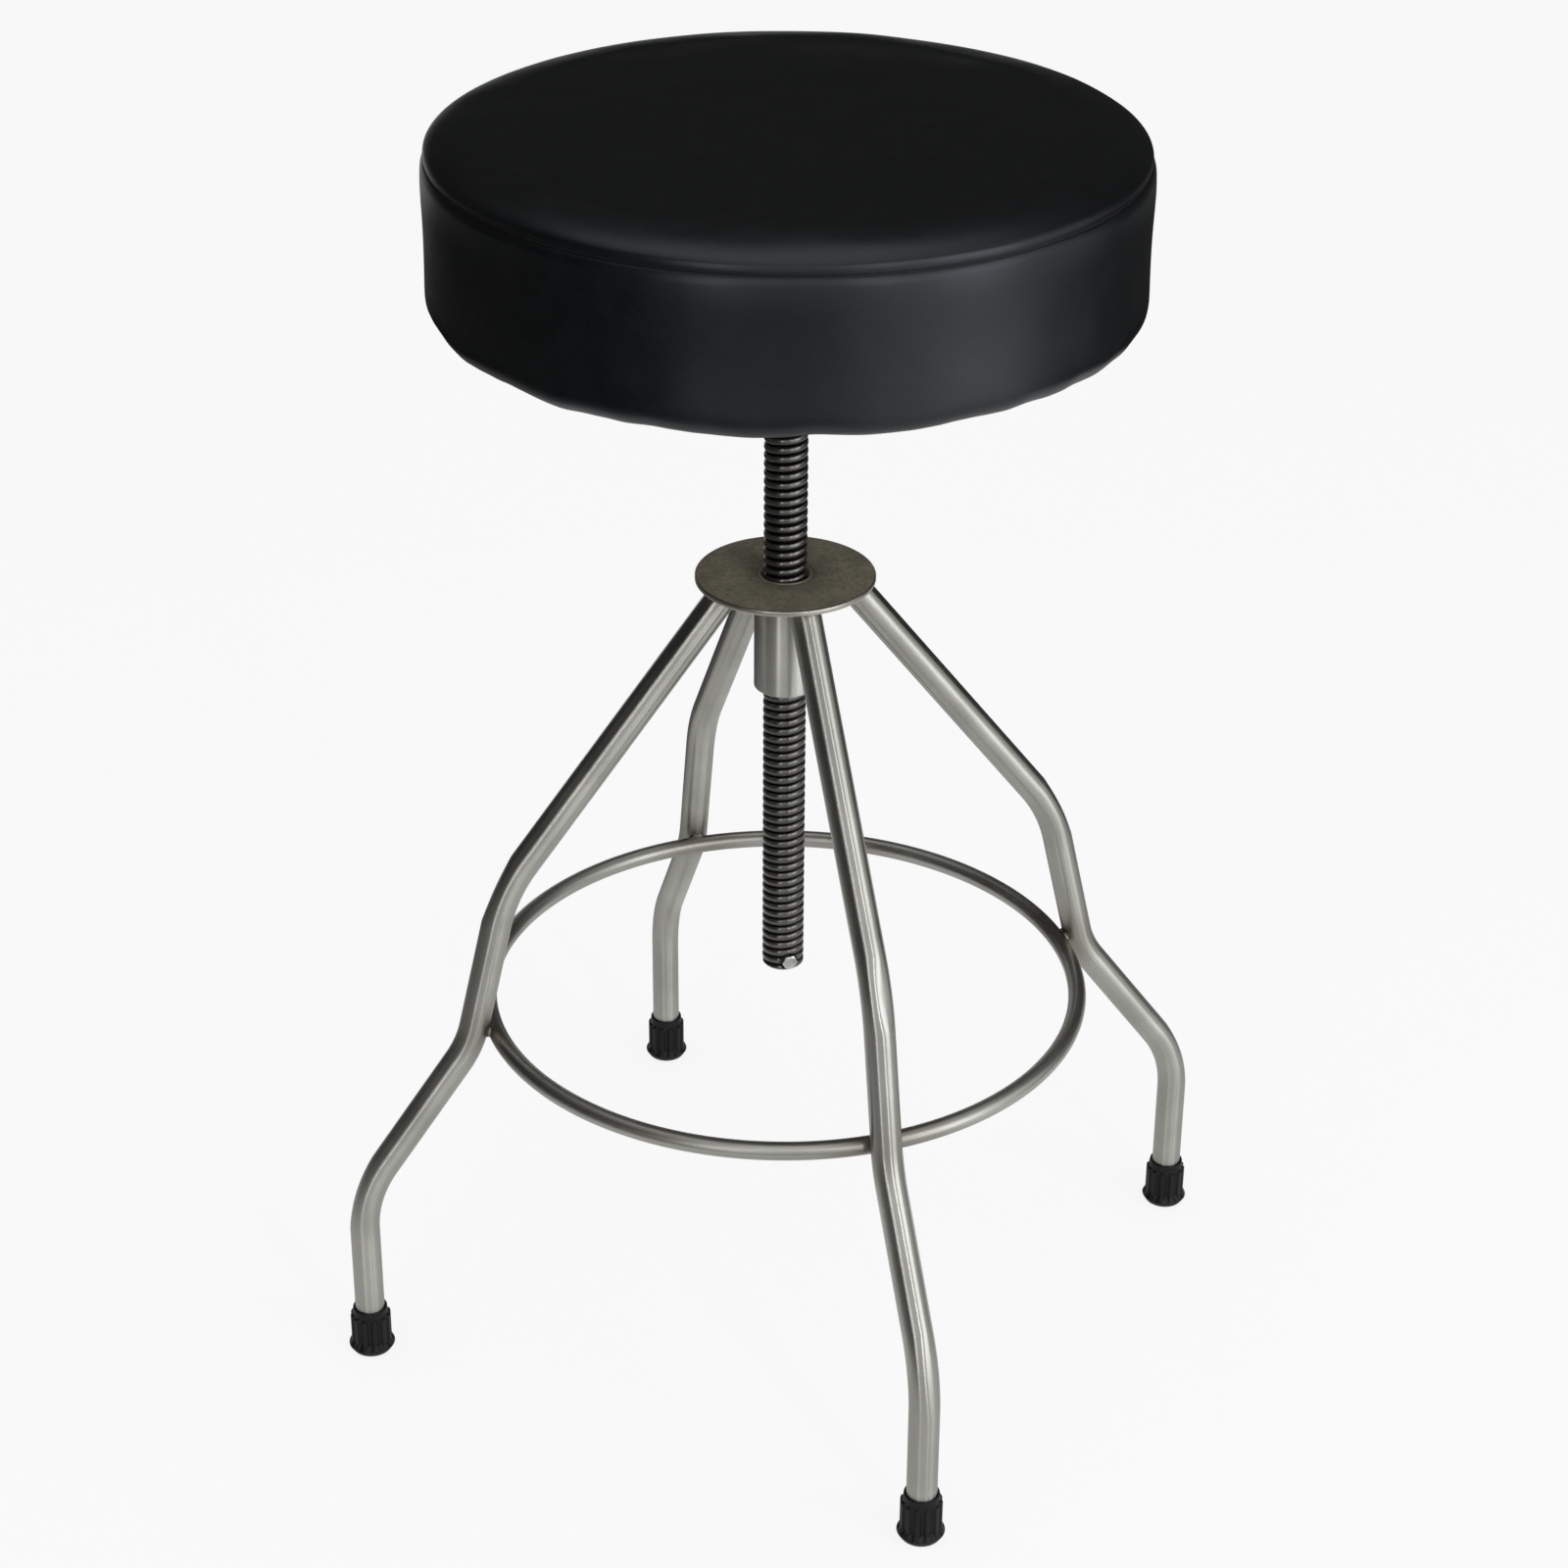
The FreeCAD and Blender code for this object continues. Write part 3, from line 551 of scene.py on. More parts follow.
def rounded(corners, count=4):
    """An open outline whose corners, given as radius, height and rounding, are turned into arcs."""
    points = [corners[0][:2]]
    for before, here, after in zip(corners, corners[1:], corners[2:]):
        middle = Vector(here[:2])
        rounding = here[2]
        if rounding == 0:
            points.append(tuple(middle))
            continue
        into = (Vector(before[:2]) - middle).normalized()
        away = (Vector(after[:2]) - middle).normalized()
        half = into.angle(away) / 2
        reach = rounding / math.tan(half)
        centre = middle + (into + away).normalized() * (rounding / math.sin(half))
        first = middle + into * reach - centre
        last = middle + away * reach - centre
        turn = first.angle_signed(last)
        for step in range(count + 1):
            swing = Matrix.Rotation(-turn * step / count, 2)
            points.append(tuple(centre + swing @ first))
    points.append(corners[-1][:2])
    return points


def whole(shape):
    """All vertices, edges and faces of a shape."""
    return [*shape.verts, *shape.edges, *shape.faces]


def only(kind, items):
    """The vertices, the edges or the faces among what an operator gives back."""
    return [item for item in items if isinstance(item, kind)]


def add_line(shape, points, closed=False):
    """Add points and the edges between them to a shape, and give back both."""
    corners = [shape.verts.new(point) for point in points]
    pairs = list(zip(corners, corners[1:]))
    if closed:
        pairs.append((corners[-1], corners[0]))
    return corners + [shape.edges.new(pair) for pair in pairs]


def face_outwards(shape):
    """Turn the faces outwards."""
    bmesh.ops.recalc_face_normals(shape, faces=shape.faces)


def put_in_order(shape):
    """Sort the edges and faces by their vertices. Spin orders them differently in each run, and a cloth
    settles a little differently with each order."""
    shape.verts.index_update()
    for items in (shape.edges, shape.faces):
        ranked = sorted(items, key=lambda item: sorted(vertex.index for vertex in item.verts))
        for number, item in enumerate(ranked):
            item.index = number
        items.sort()


def spin_full(shape, line, steps):
    """Turn a line fully about the Z axis, merge its doubles and turn its faces outwards."""
    bmesh.ops.spin(shape, geom=line, cent=ORIGIN, axis=UP, angle=math.tau, steps=steps, use_merge=True)
    bmesh.ops.remove_doubles(shape, verts=shape.verts, dist=0.004 * MM)
    face_outwards(shape)
    put_in_order(shape)


def spun(outline, steps, closed=False):
    """Turn an outline of radius and height about the Z axis."""
    shape = bmesh.new()
    line = add_line(shape, [(radius, 0, height) for radius, height in outline], closed)
    spin_full(shape, line, steps)
    return shape


def rod_circle(rod_radius, reach, height, segments, steps):
    """A rod bent to a full circle about the Z axis."""
    shape = bmesh.new()
    stand = Matrix.Translation((reach, 0, height)) @ ON_SIDE
    bmesh.ops.create_circle(shape, segments=segments, radius=rod_radius, matrix=stand)
    spin_full(shape, whole(shape), steps)
    return shape


def copy_round(shape, count):
    """Repeat a shape evenly round the Z axis."""
    bmesh.ops.spin(shape, geom=whole(shape), cent=ORIGIN, axis=UP, angle=math.tau * (1 - 1 / count),
                   steps=count - 1, use_duplicate=True)
    face_outwards(shape)


def cut_level(shape, height, side):
    """Cut off what is above a height where side is 1, or below it where side is -1, and close the cut."""
    cut = bmesh.ops.bisect_plane(shape, geom=whole(shape), plane_co=UP * height, plane_no=UP * side,
                                 clear_outer=True)
    bmesh.ops.holes_fill(shape, edges=only(bmesh.types.BMEdge, cut["geom_cut"]))


def map_metres(shape, place):
    """Give each face corner a UV in metres. A function of its point gives the two numbers, and the length
    at which the first of them wraps."""
    layer = shape.loops.layers.uv.new("metres")
    for face in shape.faces:
        corners = [place(loop.vert.co) for loop in face.loops]
        highest = max(corner[0] for corner in corners)
        for loop, (around, along, wrap) in zip(face.loops, corners):
            if highest - around > wrap / 2:
                around += wrap
            loop[layer].uv = (around, along)


def add_object(name, data):
    """Put a mesh, a lamp or a camera into the scene."""
    made = bpy.data.objects.new(name, data)
    bpy.context.scene.collection.objects.link(made)
    return made


def add_mesh(name, shape, *finishes):
    """Put a shape into the scene as a mesh."""
    mesh = bpy.data.meshes.new(name)
    shape.to_mesh(mesh)
    shape.free()
    for finish in finishes:
        mesh.materials.append(finish)
    return add_object(name, mesh)


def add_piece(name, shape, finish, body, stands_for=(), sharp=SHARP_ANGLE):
    """Make a shape an object of the stool that rides on a body."""
    piece = add_mesh(name, shape, finish)
    piece.data.polygons.foreach_set("use_smooth", [True] * len(piece.data.polygons))
    piece.data.set_sharp_from_angle(angle=math.radians(sharp))
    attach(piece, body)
    if stands_for:
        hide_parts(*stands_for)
    return piece


def worked_mesh(piece):
    """A new mesh with a piece's modifiers worked in. The piece loses them."""
    graph = bpy.context.evaluated_depsgraph_get()
    mesh = bpy.data.meshes.new_from_object(piece.evaluated_get(graph))
    piece.modifiers.clear()
    return mesh


def smooth_more(piece, levels=1):
    """Finish a piece with a Subdivision Surface."""
    surface = piece.modifiers.new("smooth", "SUBSURF")
    surface.levels = levels
    surface.render_levels = levels


def repaint(finish, *nodes):
    """Give frame nodes a finish of their own."""
    for node in nodes:
        slots = frame["nodes"][node].material_slots
        if not slots:
            raise RuntimeError(f"{node} has no material slot")
        slots[0].material = finish


# A run or a bend: how far along the route it begins, its own start, heading and length, and how it bends
Stretch = namedtuple("Stretch", "begin start heading length bend press")


class BentRoute:
    """A flat route of straight runs and tangent bends through corner points."""

    def __init__(self, corners, radii, presses):
        corners = [Vector(corner) for corner in corners]
        runs = [last - first for first, last in zip(corners, corners[1:])]
        headings = [math.atan2(run.y, run.x) for run in runs]
        turns = [after - before for before, after in zip(headings, headings[1:])]
        tangents = [0, *(radius * math.tan(abs(turn) / 2) for radius, turn in zip(radii, turns)), 0]
        self.stretches = []
        self.length = 0
        for number, run in enumerate(runs):
            way = run.normalized()
            heading = headings[number]
            first, last = tangents[number:number + 2]
            self.add(corners[number] + way * first, heading, run.length - first - last)
            if number < len(radii):
                radius = radii[number]
                turn = turns[number]
                bend = math.copysign(1 / radius, turn)
                start = corners[number + 1] - way * last
                self.add(start, heading, abs(turn) * radius, bend, presses[number])

    def add(self, start, heading, length, bend=0, press=0):
        self.stretches.append(Stretch(self.length, start, heading, length, bend, press))
        self.length += length

    def at(self, along):
        """At a length along the route: the point, the heading, the side of the bend, which is 0 on a run,
        and how far the bend's outside rises over a flat."""
        here = next((item for item in reversed(self.stretches) if along >= item.begin), self.stretches[0])
        past = along - here.begin
        heading = here.heading
        if here.bend == 0:
            return here.start + Vector((math.cos(heading), math.sin(heading))) * past, heading, 0, 0
        now = heading + here.bend * past
        chord = Vector((math.sin(now) - math.sin(heading), math.cos(heading) - math.cos(now)))
        sag = (1 / abs(here.bend) + LEG_RADIUS) * (1 - math.cos(here.bend * here.length / 2))
        bow = 1 - (2 * past / here.length - 1) ** 2
        return here.start + chord / here.bend, now, math.copysign(1, here.bend), here.press * sag * bow

    def stations(self, run_step, bend_step):
        """Lengths along the route, closer together in the bends."""
        found = []
        for stretch in self.stretches:
            count = math.ceil(stretch.length / (bend_step if stretch.bend else run_step))
            found += [stretch.begin + stretch.length * number / count for number in range(count)]
        return found + [self.length]


class PieceOperator(bpy.types.Operator):
    """Builds one piece of the stool, or a group of like pieces."""

    bl_options = {"REGISTER", "UNDO"}

    def execute(self, context):
        scene = context.scene
        self.build(scene.stool_seat, scene.stool_metal, scene.stool_colours)
        return {"FINISHED"}


def cushion_outline(seat, inset):
    """The cushion from the middle of its underside round to its crown, moved inwards by an inset."""
    hidden = BOARD_UNDERSIDE + 2 * MM
    hollow = 1.0 * MM
    fold_steps = 4
    edge_steps = 6
    side_steps = 12
    top_steps = 26
    first_share = 0.12
    foot = SEAM_RADIUS - seat.draw_in
    edge = (foot - seat.lower_round, SEAT_UNDERSIDE + seat.lower_round)
    points = [(0, hidden), (FOLD_EDGE / 2, hidden), (FOLD_EDGE, hidden), (FOLD_EDGE, SEAT_UNDERSIDE)]
    for step in range(1, fold_steps):
        points.append((FOLD_EDGE + (edge[0] - FOLD_EDGE) * step / fold_steps, SEAT_UNDERSIDE))
    points += outline_arc(edge, seat.lower_round - inset, -90, 0, edge_steps)
    for step in range(1, side_steps):
        share = step / side_steps
        sunk = inset + hollow * math.sin(math.pi * share)
        points.append((foot + seat.draw_in * share - sunk, edge[1] + (SEAM_HEIGHT - edge[1]) * share))
    rows = [first_share + (1 - first_share) * step / top_steps for step in range(top_steps + 1)]
    for share in (0, *rows):
        reach = 1 - share ** 2
        height = (CROWN_HEIGHT - SEAM_HEIGHT - inset) * math.sqrt(1 - reach ** seat.fullness)
        points.append(((SEAM_RADIUS - inset) * reach, SEAM_HEIGHT + height))
    return points


def fill_cover(piece, held, seat):
    """Let the foam press on the cover: cloth under pressure, held at the seam and the fold. No point moves
    further than the most, and the moves are evened out inside the calm middle of the top."""
    most = 1.8 * MM
    calm = 45 * MM
    frames = 20
    group = piece.vertex_groups.new(name="held")
    group.add(held, 1.0, "REPLACE")
    cloth = piece.modifiers.new("filling", "CLOTH")
    settings = cloth.settings
    settings.quality = 8
    settings.mass = 0.3
    settings.tension_stiffness = 30
    settings.compression_stiffness = 30
    settings.shear_stiffness = 15
    settings.bending_stiffness = 40
    settings.use_pressure = True
    settings.uniform_pressure_force = seat.pressure
    settings.effector_weights.gravity = 0
    settings.vertex_group_mass = group.name
    cloth.collision_settings.use_collision = False
    scene = bpy.context.scene
    for number in range(1, frames + 1):
        scene.frame_set(number)
    filled = worked_mesh(piece)
    rest = [vertex.co.copy() for vertex in piece.data.vertices]
    moves = [end.co - start for start, end in zip(rest, filled.vertices)]
    near_calm = [move.z for start, move in zip(rest, moves)
                 if start.z > SEAM_HEIGHT and calm < start.xy.length < 1.3 * calm]
    level = UP * (sum(near_calm) / len(near_calm))
    for vertex, start, move in zip(piece.data.vertices, rest, moves):
        reach = start.xy.length
        if start.z > SEAM_HEIGHT and reach < calm:
            move = level.lerp(move, (reach / calm) ** 2)
        vertex.co = start + move * min(1, most / max(move.length, 1e-9))
    bpy.data.meshes.remove(filled)
    scene.frame_set(1)
    piece.vertex_groups.clear()


def on_seam(point):
    """Whether a point of the cover lies on the seam."""
    return abs(point.z - SEAM_HEIGHT) < 0.2 * MM and point.xy.length > 0.9 * SEAM_RADIUS


def seam_relief(point, seat):
    """How far the cover stands out by the seam, which is sunk between two small rolls."""
    groove_width = 0.4 * MM
    proud = 0.6 * MM
    pinch = 2.6 * MM
    if point.xy.length <= 0.8 * SEAM_RADIUS:
        return 0
    height = point.z - SEAM_HEIGHT
    spread = (5 if height < 0 else 4) * MM
    groove = seat.seam_depth * math.exp(-(height / groove_width) ** 2)
    return proud - pinch * math.exp(-abs(height) / spread) - groove


def gather_relief(point, seat):
    """How far the cover stands out in the gathers of its lower edge."""
    low = (SEAT_UNDERSIDE + seat.lower_round - point.z) / seat.lower_round
    if low <= 0 or point.xy.length <= FOLD_EDGE:
        return 0
    around = point.xy.normalized()
    broad = noise.noise((around * 6.5).to_3d() + UP * 3.7)
    narrow = noise.noise((around * 21).to_3d())
    return seat.pleats * min(1, low) * (broad + 0.35 * narrow)


def uneven_relief(point):
    """How far the foam pushes the cover out, unevenly, and not at all by the seam."""
    calm = 6 * MM
    broad = noise.noise(point * 15.0) * 0.5 * MM
    narrow = noise.noise(point * 41.0) * 0.15 * MM
    return (broad + narrow) * min(1, abs(point.z - SEAM_HEIGHT) / calm)


def shape_cover(piece, seat):
    """Round the seam's edge, then give the cover its seam, gathers and unevenness."""
    seam_round = 4.5 * MM
    shape = bmesh.new()
    shape.from_mesh(piece.data)
    at_seam = {vertex for vertex in shape.verts if on_seam(vertex.co)}
    loop = [edge for edge in shape.edges if set(edge.verts) <= at_seam]
    bmesh.ops.bevel(shape, geom=loop, offset=seam_round, segments=24, profile=0.5, affect="EDGES",
                    material=-1)
    shape.normal_update()
    moves = []
    for vertex in shape.verts:
        point = vertex.co
        relief = seam_relief(point, seat) + gather_relief(point, seat) + uneven_relief(point)
        moves.append(vertex.normal * relief)
    for vertex, move in zip(shape.verts, moves):
        vertex.co += move
    shape.to_mesh(piece.data)
    shape.free()


class STOOL_OT_cushion(PieceOperator):
    """Round vinyl cushion: a crowned top panel and a drawn-in side, sewn at one plain seam."""

    bl_idname = "stool.cushion"
    bl_label = "Seat cushion"

    def build(self, seat, metal, colours):
        outline = cushion_outline(seat, inset=0.6 * MM)
        shape = spun(outline, steps=180)
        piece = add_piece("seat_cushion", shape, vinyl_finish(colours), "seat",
                          ("seat_top_panel", "seat_side_band", "seat_foam"), sharp=180)
        held = [vertex.index for vertex in piece.data.vertices
                if vertex.co.z < SEAT_UNDERSIDE + 4 * MM or on_seam(vertex.co)]
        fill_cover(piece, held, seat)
        shape_cover(piece, seat)
        smooth_more(piece)


class STOOL_OT_dust_cloth(PieceOperator):
    """Cloth under the board, cut round, with a hole for the flange and a slight sag."""

    bl_idname = "stool.dust_cloth"
    bl_label = "Dust cloth"

    def build(self, seat, metal, colours):
        thickness = 0.5 * MM
        inner = FLANGE_RADIUS + 1.5 * MM
        width = CLOTH_RADIUS - inner
        rows = 14
        over = [(inner + width * row / rows, CLOTH_TOP) for row in range(rows + 1)]
        under = [(radius, height - thickness) for radius, height in over[::-1]]
        shape = spun(over + under, steps=144, closed=True)
        for vertex in shape.verts:
            share = (vertex.co.xy.length - inner) / width
            slack = math.sin(math.pi * min(1, max(0, share)))
            wave = noise.noise(Vector((vertex.co.x * 22, vertex.co.y * 22, 1.3)))
            vertex.co.z -= slack * (0.9 + 0.7 * wave) * MM
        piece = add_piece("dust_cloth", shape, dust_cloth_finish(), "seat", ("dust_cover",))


class STOOL_OT_staples(PieceOperator):
    """Wire staples that hold the dust cloth and the cover's fold to the board."""

    bl_idname = "stool.staples"
    bl_label = "Staples"

    def build(self, seat, metal, colours):
        crown = Vector((1.1 * MM, 10 * MM, 0.6 * MM))
        place = Vector((CLOTH_RADIUS - 4 * MM, 0, CLOTH_TOP - 0.65 * MM))
        where = Matrix.Translation(place) @ Matrix.Diagonal((*crown, 1))
        shape = bmesh.new()
        bmesh.ops.create_cube(shape, size=1, matrix=where)
        bmesh.ops.bevel(shape, geom=list(shape.edges), offset=0.2 * MM, segments=2, profile=0.5,
                        affect="EDGES", material=-1)
        copy_round(shape, metal.staple_count)
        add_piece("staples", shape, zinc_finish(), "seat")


class STOOL_OT_spindle(PieceOperator):
    """Screw spindle: a right-hand thread with rounded crests, a chamfered end and the stop bolt's flat."""

    bl_idname = "stool.spindle"
    bl_label = "Screw spindle"

    def build(self, seat, metal, colours):
        steps = 64
        chamfer = 1.3 * MM
        top = COLLAR_BOTTOM + 1 * MM
        shape = bmesh.new()
        line = add_line(shape, self.thread_outline(metal.thread_depth, top))
        bmesh.ops.spin(shape, geom=line, cent=ORIGIN, axis=UP, dvec=UP * (THREAD_PITCH / steps),
                       angle=math.tau, steps=steps, use_merge=False)
        bmesh.ops.remove_doubles(shape, verts=shape.verts, dist=0.02 * MM)
        cut_level(shape, SPINDLE_END, -1)
        cut_level(shape, top, 1)
        for vertex in shape.verts:
            most = SPINDLE_RADIUS - chamfer + (vertex.co.z - SPINDLE_END)
            reach = vertex.co.xy.length
            if reach > most:
                vertex.co.xy *= most / reach
        face_outwards(shape)
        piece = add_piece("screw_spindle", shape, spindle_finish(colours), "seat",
                          ("spindle",))
        self.cut_flat(piece)

    def thread_outline(self, depth, top):
        """The thread along one side, from two turns below the spindle's end to past its top."""
        points_a_turn = 12
        root_share = 0.1
        roundness = 2.4
        spare_turns = 2
        turns = math.ceil((top - SPINDLE_END) / THREAD_PITCH) + spare_turns + 1
        points = []
        for number in range(turns * points_a_turn + 1):
            phase = (number % points_a_turn) / points_a_turn * 2 - 1
            across = min(1, abs(phase) / (1 - root_share))
            sink = depth * (1 - math.sqrt(1 - across ** roundness))
            height = SPINDLE_END + (number / points_a_turn - spare_turns) * THREAD_PITCH
            points.append((SPINDLE_RADIUS - sink, 0, height))
        return points

    def cut_flat(self, piece):
        """Cut the round flat under the stop bolt's head."""
        flat_depth = 1.7 * MM
        flat_radius = 5.2 * MM
        length = 8 * MM
        shape = bmesh.new()
        middle = Vector((0, -(SPINDLE_RADIUS - flat_depth) - length / 2, STOP_HEIGHT))
        bmesh.ops.create_cone(shape, cap_ends=True, segments=48, radius1=flat_radius, radius2=flat_radius,
                              depth=length, matrix=Matrix.Translation(middle) @ ON_SIDE)
        cutter = add_mesh("flat_cutter", shape)
        boolean = piece.modifiers.new("flat", "BOOLEAN")
        boolean.operation = "DIFFERENCE"
        boolean.solver = "EXACT"
        boolean.object = cutter
        uncut = piece.data
        piece.data = worked_mesh(piece)
        bpy.data.meshes.remove(uncut)
        bpy.data.objects.remove(cutter)
        piece.data.set_sharp_from_angle(angle=math.radians(SHARP_ANGLE))


def bolt_head(across_flats, height):
    """A hexagon head along Z with a turned chamfer and a slightly dished top."""
    apothem = across_flats / 2
    chamfer_start = 0.93 * apothem
    chamfer_slope = math.tan(math.radians(30))
    face_radius = 0.9 * apothem
    shape = bmesh.new()
    bmesh.ops.create_circle(shape, segments=72, radius=apothem, cap_ends=True)
    bottom = list(shape.faces)
    for vertex in shape.verts:
        angle = math.atan2(vertex.co.y, vertex.co.x) % (math.pi / 3) - math.pi / 6
        vertex.co.xy *= 1 / math.cos(angle)
    sides = bmesh.ops.extrude_face_region(shape, geom=bottom)["geom"]
    for vertex in only(bmesh.types.BMVert, sides):
        vertex.co.z = height - (vertex.co.xy.length - chamfer_start) * chamfer_slope
    cap = only(bmesh.types.BMFace, sides)
    bmesh.ops.inset_region(shape, faces=cap, thickness=0.1 * apothem)
    for vertex in cap[0].verts:
        vertex.co = vertex.co.xy.normalized().to_3d() * face_radius + UP * height
    bmesh.ops.inset_region(shape, faces=cap, thickness=0.12 * apothem, depth=-0.04 * height)
    face_outwards(shape)
    return shape


class STOOL_OT_stop_bolt(PieceOperator):
    """Small hexagon bolt in the spindle's flat, which stops the seat at the top."""

    bl_idname = "stool.stop_bolt"
    bl_label = "Stop bolt"

    def build(self, seat, metal, colours):
        height = 3.4 * MM
        shape = bolt_head(7.4 * MM, height)
        out = Matrix.Translation((0, -(STOP_REACH - height), STOP_HEIGHT)) @ ON_SIDE
        bmesh.ops.transform(shape, matrix=out, verts=shape.verts)
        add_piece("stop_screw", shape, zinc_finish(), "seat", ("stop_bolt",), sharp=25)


class STOOL_OT_hub(PieceOperator):
    """Threaded sleeve under the plate, with its spigot flush in the plate's middle."""

    bl_idname = "stool.hub"
    bl_label = "Hub"

    def build(self, seat, metal, colours):
        bore = SPINDLE_RADIUS + 0.35 * MM
        lead = 1.3 * MM
        spigot = 14.1 * MM
        outline = rounded([
            (bore, HUB_BOTTOM + lead, 0),
            (bore + lead, HUB_BOTTOM, 0.2 * MM),
            (HUB_RADIUS, HUB_BOTTOM, 1.0 * MM),
            (HUB_RADIUS, PLATE_UNDERSIDE, 0.2 * MM),
            (spigot, PLATE_UNDERSIDE, 0),
            (spigot, PLATE_TOP, 0.35 * MM),
            (bore + lead, PLATE_TOP, 0.3 * MM),
            (bore, PLATE_TOP - lead, 0),
        ])
        shape = spun(outline, steps=96, closed=True)
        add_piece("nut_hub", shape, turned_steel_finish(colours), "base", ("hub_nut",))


class STOOL_OT_plate(PieceOperator):
    """Round plate that the legs are welded under, with a hole for the hub's spigot."""

    bl_idname = "stool.plate"
    bl_label = "Top plate"

    def build(self, seat, metal, colours):
        hole = 14.35 * MM
        into_hole = 1 * MM
        outline = rounded([
            (hole, PLATE_UNDERSIDE + into_hole, 0),
            (hole, PLATE_UNDERSIDE, 0.2 * MM),
            (PLATE_RADIUS, PLATE_UNDERSIDE, 0.8 * MM),
            (PLATE_RADIUS, PLATE_TOP, 0.8 * MM),
            (hole, PLATE_TOP, 0.4 * MM),
            (hole, PLATE_TOP - into_hole, 0),
        ])
        shape = spun(outline, steps=128, closed=True)
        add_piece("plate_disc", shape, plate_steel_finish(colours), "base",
                  ("top_plate",))


class STOOL_OT_legs(PieceOperator):
    """Four tubes, each with three bends that flatten it a little on the outside."""

    bl_idname = "stool.legs"
    bl_label = "Legs"

    def build(self, seat, metal, colours):
        finish = tube_steel_finish(colours)
        route = BentRoute(LEG_CORNERS, LEG_BEND_RADII, LEG_BEND_PRESSES)
        for number, (name, degrees) in enumerate(LEG_TURNS.items()):
            turn = math.radians(degrees)
            # Each tube's flats lie a little to one side
            skew = 0.35 * math.sin(2.3 * number + 0.7)
            shape = self.straight_tube(route)
            self.bend(shape, route, metal.bend_flatness, skew)
            cut_level(shape, PLATE_UNDERSIDE, 1)
            bmesh.ops.rotate(shape, verts=shape.verts, cent=ORIGIN, matrix=Matrix.Rotation(turn, 3, "Z"))
            face_outwards(shape)
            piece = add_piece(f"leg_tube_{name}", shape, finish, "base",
                              (f"leg_{name}",))
            self.point_shine(piece.data, turn)

    def point_shine(self, mesh, turn):
        """Set the middle that the shine turns round far behind the leg, so it smears along the tube."""
        far = 100
        mesh.use_auto_texspace = False
        mesh.texspace_location = (-far * math.cos(turn), -far * math.sin(turn), 0)
        mesh.texspace_size = (1, 1, 1)

    def straight_tube(self, route):
        """An upright tube as long as the route and a little more, with a ring at each station."""
        spare = LEG_RADIUS * 1.5
        girth = math.tau * LEG_RADIUS
        shape = bmesh.new()
        bmesh.ops.create_circle(shape, segments=48, radius=LEG_RADIUS, cap_ends=True)
        ring = list(shape.edges)
        stations = route.stations(run_step=9 * MM, bend_step=2.2 * MM) + [route.length + spare]
        for before, after in zip(stations, stations[1:]):
            pulled = bmesh.ops.extrude_edge_only(shape, edges=ring)["geom"]
            bmesh.ops.translate(shape, vec=UP * (after - before), verts=only(bmesh.types.BMVert, pulled))
            ring = [edge for edge in only(bmesh.types.BMEdge, pulled)
                    if abs(edge.verts[0].co.z - edge.verts[1].co.z) < 1e-7]
        map_metres(shape, lambda co: (math.atan2(co.y, co.x) / math.tau * girth + girth / 2, co.z, girth))
        return shape

    def bend(self, shape, route, flatness, skew):
        """Lay the upright tube along the route, and press in the outside of each bend."""
        press_angle = 0.65
        widening = 0.1
        for vertex in shape.verts:
            point, heading, side, rise = route.at(vertex.co.z)
            x, y = vertex.co.xy
            if side:
                off = math.atan2(y, -side * x) - skew
                off = math.atan2(math.sin(off), math.cos(off))
                depth = flatness * rise / LEG_RADIUS
                press = depth * math.exp(-(off / press_angle) ** 2)
                x *= 1 - press
                y *= (1 - press) * (1 + widening * depth)
            vertex.co = (point.x - math.sin(heading) * x, y, point.y + math.cos(heading) * x)


